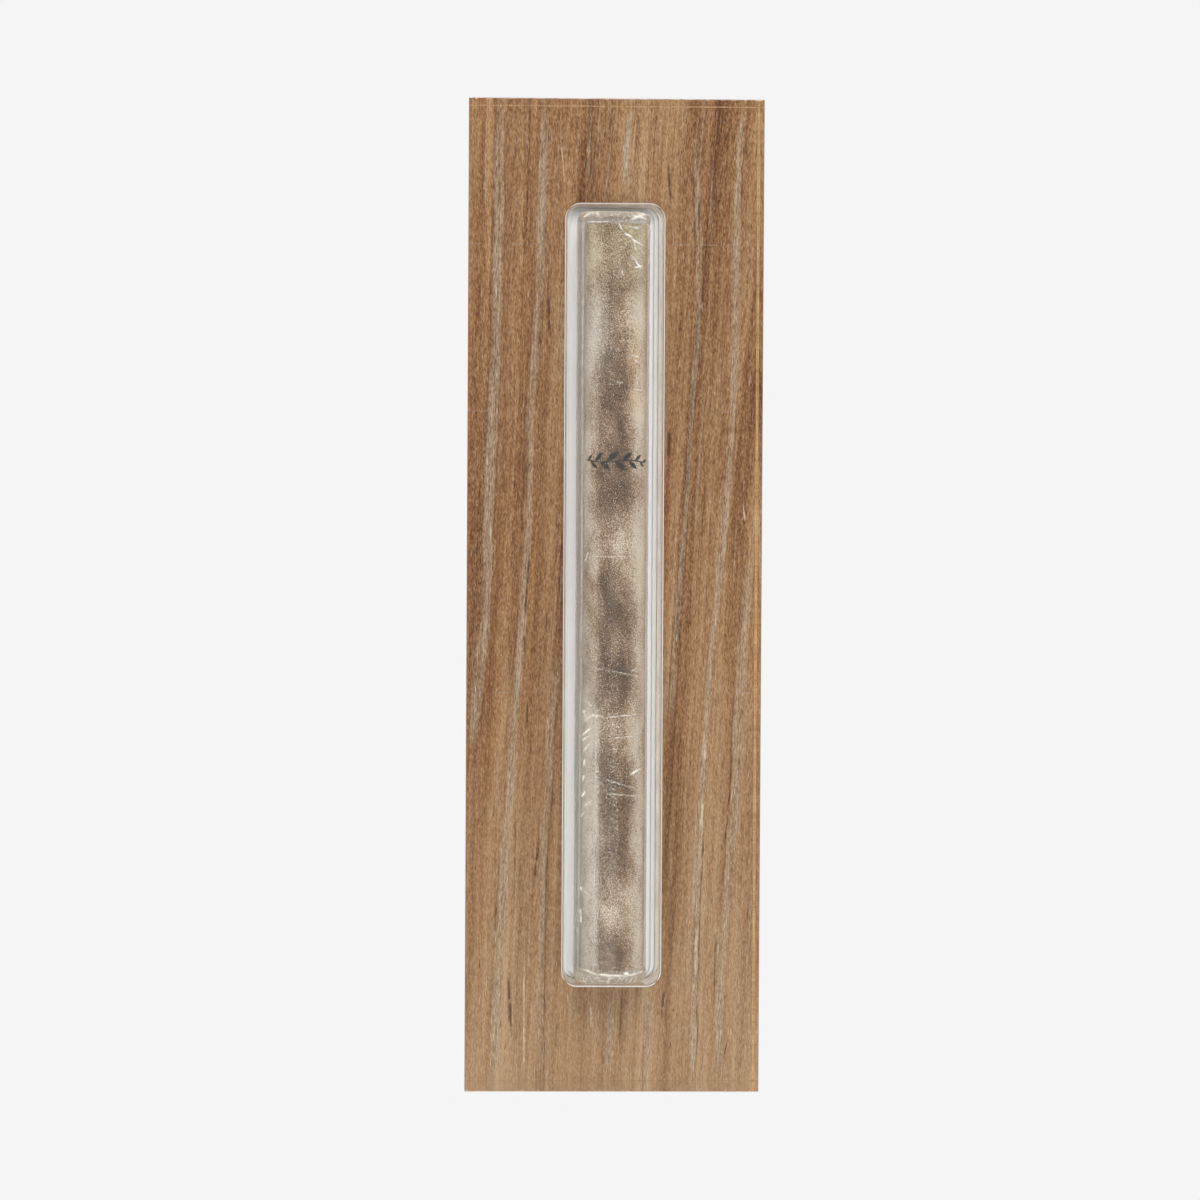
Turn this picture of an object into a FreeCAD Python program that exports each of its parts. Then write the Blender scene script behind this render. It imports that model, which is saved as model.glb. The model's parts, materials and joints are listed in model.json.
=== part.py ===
import FreeCAD, Part
import Sketcher
import math
import os

# Mezuzah case: a clear acrylic block with a limed wood veneer bonded to its back, a pocket milled
# from behind for the rolled parchment, and a white back that slides down over a dovetail plate
# fixed to the doorpost.
#
# Frame: millimetres. Origin at the centre of the mounting plate's wall face. +Z up, +Y towards the
# wall, +X to the right as seen from the front, so the whole case lies on the -Y side of the origin.

os.makedirs("parts", exist_ok=True)
doc = FreeCAD.newDocument("mezuzah_case")
V = FreeCAD.Vector

# ---------------------------------------------------------------------------
# Driving sizes
# ---------------------------------------------------------------------------
SIZES = [
    ("block_width", 46.5, "clear block, across"),
    ("block_height", 156.5, "clear block, tall"),
    ("block_thick", 19.0, "clear block, front to back"),
    ("edge_break", 0.3, "polished edge break of the block"),
    ("pocket_width", 16.0, "scroll pocket, across"),
    ("pocket_height", 124.5, "scroll pocket, tall"),
    ("pocket_depth", 12.7, "scroll pocket, from the block's back"),
    ("pocket_corner", 2.0, "cutter radius in the pocket's corners"),
    ("pocket_floor_radius", 0.5, "radius round the pocket's floor"),
    ("film_thick", 0.15, "bonding film"),
    ("film_inset", 0.2, "bonding film stops short of the edge"),
    ("veneer_thick", 0.8, "wood veneer"),
    ("veneer_inset", 0.0, "veneer is trimmed flush with the block"),
    ("window_width", 15.0, "window in the veneer, across"),
    ("window_height", 124.5, "window in the veneer, tall"),
    ("window_corner", 2.0, "window corners"),
    ("back_thick", 4.0, "white back, front to back"),
    ("back_break", 0.4, "edge break of the white back"),
    ("loading_width", 13.6, "loading window in the white back, across"),
    ("loading_height", 124.5, "loading window in the white back, tall"),
    ("loading_corner", 2.0, "loading window corners"),
    ("channel_mouth", 29.0, "dovetail channel at the back's rear face"),
    ("channel_base", 33.0, "dovetail channel at its floor"),
    ("channel_depth", 3.0, "dovetail channel, front to back"),
    ("channel_stop", 70.0, "height of the channel's closed end above the middle"),
    ("wall_gap", 0.5, "white back clears the wall"),
    ("slide_clear", 0.2, "running clearance of the dovetail"),
    ("plate_height", 140.0, "mounting plate, tall"),
    ("plate_lead", 0.8, "lead-in chamfer at the plate's ends"),
    ("screw_spacing", 108.0, "between the two screw holes"),
    ("screw_hole", 3.6, "screw hole"),
    ("screw_sink", 7.2, "countersink"),
    ("tape_width", 22.0, "tape recess, across"),
    ("tape_height", 34.0, "tape recess, tall"),
    ("tape_centre", 24.5, "tape recess centre, above and below the middle"),
    ("tape_corner", 1.5, "tape recess corners"),
    ("pad_gap", 0.5, "tape pad inside its recess"),
    ("pad_thick", 0.9, "foam tape pad"),
    ("liner_thick", 0.1, "release liner"),
    ("sheet_thick", 0.3, "parchment sheet"),
    ("roll_pitch", 0.36, "parchment roll, from turn to turn"),
    ("roll_radius", 5.3, "parchment roll, outside"),
    ("roll_length", 120.0, "parchment sheet, tall"),
    ("roll_side", 0.4, "roll leans to one side of the sleeve"),
    ("roll_free_edge", 243.0, "angle of the parchment's free edge, degrees"),
    ("sleeve_radius", 5.45, "film sleeve, outside radius"),
    ("sleeve_wall", 0.1, "film sleeve wall"),
    ("sleeve_width", 11.6, "film sleeve, across"),
    ("sleeve_length", 123.5, "film sleeve, tall"),
    ("sleeve_gap", 0.7, "sleeve clears the mounting plate"),
]

sheet = doc.addObject("Spreadsheet::Sheet", "Sizes")
sheet.Label = "Sizes"
for row, (alias, value, note) in enumerate(SIZES, start=1):
    sheet.set("A%d" % row, note)
    sheet.set("B%d" % row, str(value))
    sheet.setAlias("B%d" % row, alias)
doc.recompute()


def size(alias):
    return float(sheet.get(alias))


# Distances of the layers from the wall, as expressions on the sheet.
BACK_REAR = "Sizes.wall_gap"
BACK_FRONT = "(Sizes.wall_gap + Sizes.back_thick)"
VENEER_REAR = "(Sizes.wall_gap + Sizes.back_thick + Sizes.film_thick)"
VENEER_FRONT = "(Sizes.wall_gap + Sizes.back_thick + Sizes.film_thick + Sizes.veneer_thick)"
BLOCK_REAR = "(Sizes.wall_gap + Sizes.back_thick + 2 * Sizes.film_thick + Sizes.veneer_thick)"
PLATE_THICK = "(Sizes.wall_gap + Sizes.channel_depth - Sizes.slide_clear)"


# ---------------------------------------------------------------------------
# Helpers
# ---------------------------------------------------------------------------
def new_body(label):
    body = doc.addObject("PartDesign::Body", label)
    body.Label = label
    return body


def origin_plane(body, role):
    for feature in body.Origin.OriginFeatures:
        if getattr(feature, "Role", "") == role:
            return feature
    raise RuntimeError("no plane " + role)


def new_sketch(body, name, role, offset=None):
    sk = body.newObject("Sketcher::SketchObject", name)
    sk.AttachmentSupport = [(origin_plane(body, role), "")]
    sk.MapMode = "FlatFace"
    if offset is not None:
        sk.setExpression("AttachmentOffset.Base.z", offset)
    return sk


def dimension(sk, constraint, name, expression):
    index = sk.addConstraint(constraint)
    sk.renameConstraint(index, name)
    sk.setExpression("Constraints." + name, expression)
    return index


def add_rectangle(sk, tag, width, height, guess_w, guess_h):
    """A plain rectangle centred on the sketch's origin."""
    a, b = guess_w / 2.0, guess_h / 2.0
    pts = [V(-a, -b, 0), V(a, -b, 0), V(a, b, 0), V(-a, b, 0)]
    base = sk.GeometryCount
    for i in range(4):
        sk.addGeometry(Part.LineSegment(pts[i], pts[(i + 1) % 4]), False)
    for i in range(4):
        sk.addConstraint(Sketcher.Constraint("Coincident", base + i, 2, base + (i + 1) % 4, 1))
    sk.addConstraint(Sketcher.Constraint("Horizontal", base + 0))
    sk.addConstraint(Sketcher.Constraint("Vertical", base + 1))
    sk.addConstraint(Sketcher.Constraint("Horizontal", base + 2))
    sk.addConstraint(Sketcher.Constraint("Vertical", base + 3))
    sk.addConstraint(Sketcher.Constraint("Symmetric", base + 0, 1, base + 1, 2, -1, 1))
    dimension(sk, Sketcher.Constraint("DistanceX", base + 0, 1, base + 0, 2, guess_w), tag + "_w", width)
    dimension(sk, Sketcher.Constraint("DistanceY", base + 1, 1, base + 1, 2, guess_h), tag + "_h", height)


def add_rounded(sk, tag, width, height, radius, guess_w, guess_h, guess_r, centre=None, guess_c=0.0):
    """A rounded rectangle, centred on the origin, or at a height `centre` on the vertical axis."""
    a, b, r, c = guess_w / 2.0, guess_h / 2.0, guess_r, guess_c
    base = sk.GeometryCount
    z = V(0, 0, 1)

    def arc(cx, cy, start):
        return Part.ArcOfCircle(Part.Circle(V(cx, cy, 0), z, r), math.radians(start), math.radians(start + 90))

    # lines 0, 2, 4, 6 and arcs 1, 3, 5, 7, counter-clockwise from the bottom line
    sk.addGeometry(Part.LineSegment(V(-a + r, c - b, 0), V(a - r, c - b, 0)), False)
    sk.addGeometry(arc(a - r, c - b + r, 270), False)
    sk.addGeometry(Part.LineSegment(V(a, c - b + r, 0), V(a, c + b - r, 0)), False)
    sk.addGeometry(arc(a - r, c + b - r, 0), False)
    sk.addGeometry(Part.LineSegment(V(a - r, c + b, 0), V(-a + r, c + b, 0)), False)
    sk.addGeometry(arc(-a + r, c + b - r, 90), False)
    sk.addGeometry(Part.LineSegment(V(-a, c + b - r, 0), V(-a, c - b + r, 0)), False)
    sk.addGeometry(arc(-a + r, c - b + r, 180), False)
    for i in range(8):
        sk.addConstraint(Sketcher.Constraint("Tangent", base + i, 2, base + (i + 1) % 8, 1))
    sk.addConstraint(Sketcher.Constraint("Horizontal", base + 4))
    sk.addConstraint(Sketcher.Constraint("Vertical", base + 2))
    sk.addConstraint(Sketcher.Constraint("Vertical", base + 6))
    for i in (3, 5, 7):
        sk.addConstraint(Sketcher.Constraint("Equal", base + 1, base + i))
    dimension(sk, Sketcher.Constraint("Radius", base + 1, guess_r), tag + "_r", radius)
    dimension(sk, Sketcher.Constraint("DistanceX", base + 6, 1, base + 2, 1, guess_w), tag + "_w", width)
    dimension(sk, Sketcher.Constraint("DistanceY", base + 0, 1, base + 4, 1, guess_h), tag + "_h", height)
    # centre it: the bottom line's ends are mirror images about the vertical axis
    sk.addConstraint(Sketcher.Constraint("Symmetric", base + 0, 1, base + 0, 2, -2))
    half = "(%s) / 2" % height
    if centre is None:
        dimension(sk, Sketcher.Constraint("DistanceY", base + 0, 1, -1, 1, b - c), tag + "_down", half)
    else:
        dimension(sk, Sketcher.Constraint("DistanceY", -1, 1, base + 0, 1, c - b) if c - b >= 0 else
                  Sketcher.Constraint("DistanceY", base + 0, 1, -1, 1, b - c),
                  tag + "_down", ("(%s) - %s" % (centre, half)) if c - b >= 0 else ("%s - (%s)" % (half, centre)))


def pad(body, sk, name, length, reverse=False):
    feature = body.newObject("PartDesign::Pad", name)
    feature.Profile = sk
    feature.Reversed = reverse
    feature.setExpression("Length", length)
    sk.Visibility = False
    return feature


def pocket(body, sk, name, length, reverse=False):
    feature = body.newObject("PartDesign::Pocket", name)
    feature.Profile = sk
    feature.Reversed = reverse
    feature.setExpression("Length", length)
    sk.Visibility = False
    return feature


def edges_where(feature, test):
    return ["Edge%d" % (i + 1) for i, e in enumerate(feature.Shape.Edges) if test(e)]


def check_volume(feature, expected, what, share=0.002):
    got = feature.Shape.Volume
    if abs(got - expected) > share * abs(expected):
        raise RuntimeError("%s: volume %.3f, expected %.3f" % (what, got, expected))


def rounded_area(w, h, r):
    return w * h - (4 - math.pi) * r * r


# ---------------------------------------------------------------------------
# Clear block: the XZ plane's normal is -Y, so a pad on it grows towards the front
# ---------------------------------------------------------------------------
clear_block = new_body("clear_block")
sk = new_sketch(clear_block, "block_outline", "XZ_Plane")
add_rectangle(sk, "block", "Sizes.block_width", "Sizes.block_height", size("block_width"), size("block_height"))
block_pad = pad(clear_block, sk, "block_pad", "Sizes.block_thick")
doc.recompute()

# polished breaks on every outer edge but those glued to the veneer
front_y = -size("block_thick")


def block_edge(e):
    on_rear = all(abs(v.Point.y) < 1e-6 for v in e.Vertexes)
    return not on_rear


block_break = clear_block.newObject("PartDesign::Chamfer", "block_break")
block_break.Base = (block_pad, edges_where(block_pad, block_edge))
block_break.setExpression("Size", "Sizes.edge_break")
doc.recompute()
solid_volume = block_break.Shape.Volume

sk = new_sketch(clear_block, "pocket_outline", "XZ_Plane")
add_rounded(sk, "pocket", "Sizes.pocket_width", "Sizes.pocket_height", "Sizes.pocket_corner",
            size("pocket_width"), size("pocket_height"), size("pocket_corner"))
block_pocket = pocket(clear_block, sk, "block_pocket", "Sizes.pocket_depth", reverse=True)
doc.recompute()
cut = rounded_area(size("pocket_width"), size("pocket_height"), size("pocket_corner")) * size("pocket_depth")
check_volume(block_pocket, solid_volume - cut, "scroll pocket")

floor_y = -size("pocket_depth")
pocket_fillet = clear_block.newObject("PartDesign::Fillet", "pocket_floor_fillet")
pocket_fillet.Base = (block_pocket, edges_where(
    block_pocket, lambda e: all(abs(v.Point.y - floor_y) < 1e-6 for v in e.Vertexes)))
pocket_fillet.setExpression("Radius", "Sizes.pocket_floor_radius")
doc.recompute()
clear_block.setExpression("Placement.Base.y", "-" + BLOCK_REAR)


# ---------------------------------------------------------------------------
# Veneer and the two bonding films: thin sheets with the same window
# ---------------------------------------------------------------------------
def windowed_sheet(label, inset, thick, rear):
    body = new_body(label)
    outline = new_sketch(body, label + "_outline", "XZ_Plane")
    inset_mm = size(inset)
    add_rectangle(outline, "outer", "Sizes.block_width - 2 * Sizes.%s" % inset,
                  "Sizes.block_height - 2 * Sizes.%s" % inset,
                  size("block_width") - 2 * inset_mm, size("block_height") - 2 * inset_mm)
    add_rounded(outline, "window", "Sizes.window_width", "Sizes.window_height", "Sizes.window_corner",
                size("window_width"), size("window_height"), size("window_corner"))
    feature = pad(body, outline, label + "_pad", thick)
    doc.recompute()
    area = (size("block_width") - 2 * inset_mm) * (size("block_height") - 2 * inset_mm) \
        - rounded_area(size("window_width"), size("window_height"), size("window_corner"))
    check_volume(feature, area * float(feature.Length), label)
    body.setExpression("Placement.Base.y", "-" + rear)
    return body


rear_bond_film = windowed_sheet("rear_bond_film", "film_inset", "Sizes.film_thick", BACK_FRONT)
wood_veneer = windowed_sheet("wood_veneer", "veneer_inset", "Sizes.veneer_thick", VENEER_REAR)
front_bond_film = windowed_sheet("front_bond_film", "film_inset", "Sizes.film_thick", VENEER_FRONT)

# ---------------------------------------------------------------------------
# White back: a plate with a dovetail channel, open below and closed above, and the loading window
# ---------------------------------------------------------------------------
back_frame = new_body("back_frame")
sk = new_sketch(back_frame, "back_outline", "XZ_Plane")
add_rectangle(sk, "back", "Sizes.block_width", "Sizes.block_height", size("block_width"), size("block_height"))
back_pad = pad(back_frame, sk, "back_pad", "Sizes.back_thick")
doc.recompute()

# edge break round the rear face
back_break = back_frame.newObject("PartDesign::Chamfer", "back_break")
back_break.Base = (back_pad, edges_where(back_pad, lambda e: all(abs(v.Point.y) < 1e-6 for v in e.Vertexes)))
back_break.setExpression("Size", "Sizes.back_break")
doc.recompute()
before = back_break.Shape.Volume


def add_dovetail(sk, rear_w, front_w, rear_y, front_y, g_rear_w, g_front_w, g_rear_y, g_front_y):
    """A symmetric trapezium on the XY plane; y is given as a positive distance towards the front."""
    pts = [V(-g_rear_w / 2, -g_rear_y, 0), V(-g_front_w / 2, -g_front_y, 0),
           V(g_front_w / 2, -g_front_y, 0), V(g_rear_w / 2, -g_rear_y, 0)]
    base = sk.GeometryCount
    for i in range(4):
        sk.addGeometry(Part.LineSegment(pts[i], pts[(i + 1) % 4]), False)
    for i in range(4):
        sk.addConstraint(Sketcher.Constraint("Coincident", base + i, 2, base + (i + 1) % 4, 1))
    sk.addConstraint(Sketcher.Constraint("Symmetric", base + 1, 1, base + 1, 2, -2))
    sk.addConstraint(Sketcher.Constraint("Symmetric", base + 3, 1, base + 3, 2, -2))
    dimension(sk, Sketcher.Constraint("DistanceX", base + 1, 1, base + 1, 2, g_front_w), "front_w", front_w)
    dimension(sk, Sketcher.Constraint("DistanceX", base + 3, 2, base + 3, 1, g_rear_w), "rear_w", rear_w)
    dimension(sk, Sketcher.Constraint("DistanceY", base + 1, 1, -1, 1, g_front_y), "front_y", front_y)
    if abs(g_rear_y) > 1e-9:
        if g_rear_y < 0:
            dimension(sk, Sketcher.Constraint("DistanceY", -1, 1, base + 3, 1, -g_rear_y), "rear_y", rear_y)
        else:
            dimension(sk, Sketcher.Constraint("DistanceY", base + 3, 1, -1, 1, g_rear_y), "rear_y", rear_y)
    else:
        sk.addConstraint(Sketcher.Constraint("PointOnObject", base + 3, 1, -1))


# The channel's sides carry on 1 mm past the rear face, so that the cut is clean.
flare = (size("channel_base") - size("channel_mouth")) / size("channel_depth")
sk = new_sketch(back_frame, "channel_section", "XY_Plane", "-Sizes.block_height / 2 - 1")
add_dovetail(sk,
             "Sizes.channel_mouth - (Sizes.channel_base - Sizes.channel_mouth) / Sizes.channel_depth * 1",
             "Sizes.channel_base", "1", "Sizes.channel_depth",
             size("channel_mouth") - flare, size("channel_base"), -1.0, size("channel_depth"))
channel = pocket(back_frame, sk, "dovetail_channel", "Sizes.block_height / 2 + 1 + Sizes.channel_stop", reverse=True)
doc.recompute()
run = size("block_height") / 2 + size("channel_stop")
section = (size("channel_mouth") + size("channel_base")) / 2 * size("channel_depth")
check_volume(channel, before - section * run, "dovetail channel", 0.004)

# shallow relief along the channel's floor edges and the loading window through the floor
before = channel.Shape.Volume
sk = new_sketch(back_frame, "loading_outline", "XZ_Plane")
add_rounded(sk, "loading", "Sizes.loading_width", "Sizes.loading_height", "Sizes.loading_corner",
            size("loading_width"), size("loading_height"), size("loading_corner"))
loading = pocket(back_frame, sk, "loading_window", "Sizes.back_thick + 1", reverse=True)
doc.recompute()
cut = rounded_area(size("loading_width"), size("loading_height"), size("loading_corner")) \
    * (size("back_thick") - size("channel_depth"))
check_volume(loading, before - cut, "loading window")
back_frame.setExpression("Placement.Base.y", "-" + BACK_REAR)

# ---------------------------------------------------------------------------
# Mounting plate: dovetail section, two countersunk holes, two recesses for tape
# ---------------------------------------------------------------------------
mounting_plate = new_body("mounting_plate")
thick = size("wall_gap") + size("channel_depth") - size("slide_clear")
# the plate follows the channel's sides, slide_clear inside them all round; its rear face lies on
# the wall, so its sides carry on past the channel's mouth
side = math.hypot(1.0, flare / 2.0)
gap_x = size("slide_clear") * side
front_w = size("channel_base") - flare * size("slide_clear") - 2 * gap_x
rear_w = size("channel_mouth") - flare * size("wall_gap") - 2 * gap_x
FLARE = "((Sizes.channel_base - Sizes.channel_mouth) / Sizes.channel_depth)"
GAP_X = "(Sizes.slide_clear * sqrt(1 + pow(%s / 2; 2)))" % FLARE
sk = new_sketch(mounting_plate, "plate_section", "XY_Plane", "-Sizes.plate_height / 2")
add_dovetail(sk,
             "Sizes.channel_mouth - %s * Sizes.wall_gap - 2 * %s" % (FLARE, GAP_X),
             "Sizes.channel_base - %s * Sizes.slide_clear - 2 * %s" % (FLARE, GAP_X),
             "0", PLATE_THICK, rear_w, front_w, 0.0, thick)
plate_pad = pad(mounting_plate, sk, "plate_pad", "Sizes.plate_height")
doc.recompute()
check_volume(plate_pad, (rear_w + front_w) / 2 * thick * size("plate_height"), "mounting plate")

# lead-in chamfers: the four slanting corners of the section's ends
half = size("plate_height") / 2


def plate_corner(e):
    if len(e.Vertexes) != 2:
        return False
    a, b = e.Vertexes[0].Point, e.Vertexes[1].Point
    return abs(abs(a.z) - half) < 1e-6 and abs(a.z - b.z) < 1e-6 and a.x * b.x > 0 and abs(a.x - b.x) > 1e-6


plate_lead = mounting_plate.newObject("PartDesign::Chamfer", "plate_lead")
plate_lead.Base = (plate_pad, edges_where(plate_pad, plate_corner))
plate_lead.setExpression("Size", "Sizes.plate_lead")
doc.recompute()

# countersunk screw holes, drilled from the plate's front
before = plate_lead.Shape.Volume
sk = new_sketch(mounting_plate, "screw_points", "XZ_Plane", PLATE_THICK)
for i, sign in enumerate((1, -1)):
    sk.addGeometry(Part.Circle(V(0, sign * size("screw_spacing") / 2, 0), V(0, 0, 1), size("screw_hole") / 2), False)
    if i == 0:
        sk.addConstraint(Sketcher.Constraint("PointOnObject", i, 3, -2))
    dimension(sk, Sketcher.Constraint("Radius", i, size("screw_hole") / 2), "hole_%d" % i, "Sizes.screw_hole / 2")
dimension(sk, Sketcher.Constraint("DistanceY", 1, 3, 0, 3, size("screw_spacing")), "spacing", "Sizes.screw_spacing")
sk.addConstraint(Sketcher.Constraint("Symmetric", 0, 3, 1, 3, -1, 1))
doc.recompute()
screw_holes = mounting_plate.newObject("PartDesign::Hole", "screw_holes")
screw_holes.Profile = sk
doc.recompute()
screw_holes.ThreadType = "None"
screw_holes.DepthType = "ThroughAll"
screw_holes.HoleCutType = "Countersink"
screw_holes.HoleCutCustomValues = True
screw_holes.setExpression("Diameter", "Sizes.screw_hole")
screw_holes.setExpression("HoleCutDiameter", "Sizes.screw_sink")
screw_holes.HoleCutCountersinkAngle = 90.0
sk.Visibility = False
doc.recompute()
r1, r2 = size("screw_hole") / 2, size("screw_sink") / 2
sink = r2 - r1
one_hole = math.pi * r1 * r1 * (thick - sink) + math.pi * sink / 3 * (r1 * r1 + r1 * r2 + r2 * r2)
check_volume(screw_holes, before - 2 * one_hole, "screw holes", 0.0005)

# recesses for the tape pads, sunk into the wall face
before = screw_holes.Shape.Volume
sk = new_sketch(mounting_plate, "tape_outlines", "XZ_Plane")
add_rounded(sk, "upper", "Sizes.tape_width", "Sizes.tape_height", "Sizes.tape_corner",
            size("tape_width"), size("tape_height"), size("tape_corner"), "Sizes.tape_centre", size("tape_centre"))
add_rounded(sk, "lower", "Sizes.tape_width", "Sizes.tape_height", "Sizes.tape_corner",
            size("tape_width"), size("tape_height"), size("tape_corner"), "-Sizes.tape_centre", -size("tape_centre"))
tape_recess = pocket(mounting_plate, sk, "tape_recess", "Sizes.pad_thick + Sizes.liner_thick", reverse=True)
doc.recompute()
cut = 2 * rounded_area(size("tape_width"), size("tape_height"), size("tape_corner")) \
    * (size("pad_thick") + size("liner_thick"))
check_volume(tape_recess, before - cut, "tape recesses")


# ---------------------------------------------------------------------------
# Foam tape pads and their liners, two of each
# ---------------------------------------------------------------------------
def tape_layer(label, thick_alias, rear):
    body = new_body(label)
    body.AllowCompound = True
    outline = new_sketch(body, label + "_outline", "XZ_Plane")
    w = "Sizes.tape_width - 2 * Sizes.pad_gap"
    h = "Sizes.tape_height - 2 * Sizes.pad_gap"
    r = "Sizes.tape_corner - Sizes.pad_gap"
    gw, gh = size("tape_width") - 2 * size("pad_gap"), size("tape_height") - 2 * size("pad_gap")
    gr = size("tape_corner") - size("pad_gap")
    add_rounded(outline, "upper", w, h, r, gw, gh, gr, "Sizes.tape_centre", size("tape_centre"))
    add_rounded(outline, "lower", w, h, r, gw, gh, gr, "-Sizes.tape_centre", -size("tape_centre"))
    feature = pad(body, outline, label + "_pad", "Sizes." + thick_alias)
    doc.recompute()
    check_volume(feature, 2 * rounded_area(gw, gh, gr) * size(thick_alias), label)
    if rear is not None:
        body.setExpression("Placement.Base.y", rear)
    return body


release_liners = tape_layer("release_liners", "liner_thick", None)
foam_pads = tape_layer("foam_pads", "pad_thick", "-Sizes.liner_thick")

# ---------------------------------------------------------------------------
# Rolled parchment: a sheet wound in half turns about two centres
# ---------------------------------------------------------------------------
parchment_scroll = new_body("parchment_scroll")
sk = new_sketch(parchment_scroll, "roll_section", "XY_Plane")
R0, pitch, t_sheet = size("roll_radius"), size("roll_pitch"), size("sheet_thick")
step = pitch / 2.0
HALF_TURNS = 8
zdir = V(0, 0, 1)
outer, inner = [], []
for k in range(HALF_TURNS):
    radius = R0 - k * step
    cx = 0.0 if k % 2 == 0 else -step
    a0, a1 = (0.0, math.pi) if k % 2 == 0 else (math.pi, 2 * math.pi)
    outer.append(sk.addGeometry(Part.ArcOfCircle(Part.Circle(V(cx, 0, 0), zdir, radius), a0, a1), False))
    inner.append(sk.addGeometry(Part.ArcOfCircle(Part.Circle(V(cx, 0, 0), zdir, radius - t_sheet), a0, a1), False))
for k in range(HALF_TURNS - 1):
    sk.addConstraint(Sketcher.Constraint("Coincident", outer[k], 2, outer[k + 1], 1))
    sk.addConstraint(Sketcher.Constraint("Coincident", inner[k], 2, inner[k + 1], 1))
free_edge = sk.addGeometry(Part.LineSegment(V(R0, 0, 0), V(R0 - t_sheet, 0, 0)), False)
last_r = R0 - (HALF_TURNS - 1) * step
last_x = -step + last_r
core_edge = sk.addGeometry(Part.LineSegment(V(last_x, 0, 0), V(last_x - t_sheet, 0, 0)), False)
sk.addConstraint(Sketcher.Constraint("Coincident", free_edge, 1, outer[0], 1))
sk.addConstraint(Sketcher.Constraint("Coincident", free_edge, 2, inner[0], 1))
sk.addConstraint(Sketcher.Constraint("Coincident", core_edge, 1, outer[-1], 2))
sk.addConstraint(Sketcher.Constraint("Coincident", core_edge, 2, inner[-1], 2))
# centres on the section's axis, one at the origin and one a half pitch aside
for k in range(HALF_TURNS):
    for arcs in (outer, inner):
        if k % 2 == 0:
            sk.addConstraint(Sketcher.Constraint("Coincident", arcs[k], 3, -1, 1))
        elif k == 1 and arcs is outer:
            sk.addConstraint(Sketcher.Constraint("PointOnObject", arcs[k], 3, -1))
            dimension(sk, Sketcher.Constraint("DistanceX", arcs[k], 3, -1, 1, step), "half_pitch",
                      "Sizes.roll_pitch / 2")
        else:
            sk.addConstraint(Sketcher.Constraint("Coincident", arcs[k], 3, outer[1], 3))
sk.addConstraint(Sketcher.Constraint("Horizontal", free_edge))
sk.addConstraint(Sketcher.Constraint("PointOnObject", free_edge, 1, -1))
dimension(sk, Sketcher.Constraint("DistanceX", -1, 1, free_edge, 1, R0), "roll_r", "Sizes.roll_radius")
dimension(sk, Sketcher.Constraint("DistanceX", free_edge, 2, free_edge, 1, t_sheet), "sheet_t", "Sizes.sheet_thick")
for k in range(HALF_TURNS):
    sk.addConstraint(Sketcher.Constraint("PointOnObject", outer[k], 2, -1))
    sk.addConstraint(Sketcher.Constraint("PointOnObject", inner[k], 2, -1))
roll_pad = pad(parchment_scroll, sk, "roll_pad", "Sizes.roll_length")
doc.recompute()
area = sum(math.pi / 2 * ((R0 - k * step) ** 2 - (R0 - k * step - t_sheet) ** 2) for k in range(HALF_TURNS))
check_volume(roll_pad, area * size("roll_length"), "parchment roll")

ROLL_Y = "-(Sizes.wall_gap + Sizes.channel_depth - Sizes.slide_clear + Sizes.sleeve_gap + Sizes.sleeve_radius)"
parchment_scroll.Placement = FreeCAD.Placement(
    V(0, 0, 0), FreeCAD.Rotation(V(0, 0, 1), size("roll_free_edge")))
parchment_scroll.setExpression("Placement.Rotation.Angle", "Sizes.roll_free_edge")
parchment_scroll.setExpression("Placement.Base.x", "Sizes.roll_side")
parchment_scroll.setExpression("Placement.Base.y", ROLL_Y)
parchment_scroll.setExpression(
    "Placement.Base.z", "-Sizes.pocket_height / 2 + (Sizes.sleeve_length - Sizes.roll_length) / 2")

# ---------------------------------------------------------------------------
# Film sleeve: a thin flattened tube round the roll
# ---------------------------------------------------------------------------
scroll_sleeve = new_body("scroll_sleeve")
sk = new_sketch(scroll_sleeve, "sleeve_section", "XY_Plane")


def add_stadium(sk, tag, radius, span, g_r, g_s):
    base = sk.GeometryCount
    s2 = g_s / 2.0
    sk.addGeometry(Part.LineSegment(V(-s2, -g_r, 0), V(s2, -g_r, 0)), False)
    sk.addGeometry(Part.ArcOfCircle(Part.Circle(V(s2, 0, 0), zdir, g_r), -math.pi / 2, math.pi / 2), False)
    sk.addGeometry(Part.LineSegment(V(s2, g_r, 0), V(-s2, g_r, 0)), False)
    sk.addGeometry(Part.ArcOfCircle(Part.Circle(V(-s2, 0, 0), zdir, g_r), math.pi / 2, 3 * math.pi / 2), False)
    for i in range(4):
        sk.addConstraint(Sketcher.Constraint("Tangent", base + i, 2, base + (i + 1) % 4, 1))
    sk.addConstraint(Sketcher.Constraint("Horizontal", base + 0))
    sk.addConstraint(Sketcher.Constraint("PointOnObject", base + 1, 3, -1))
    sk.addConstraint(Sketcher.Constraint("Symmetric", base + 1, 3, base + 3, 3, -1, 1))
    dimension(sk, Sketcher.Constraint("Radius", base + 1, g_r), tag + "_r", radius)
    dimension(sk, Sketcher.Constraint("DistanceX", base + 3, 3, base + 1, 3, g_s), tag + "_s", span)


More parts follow.
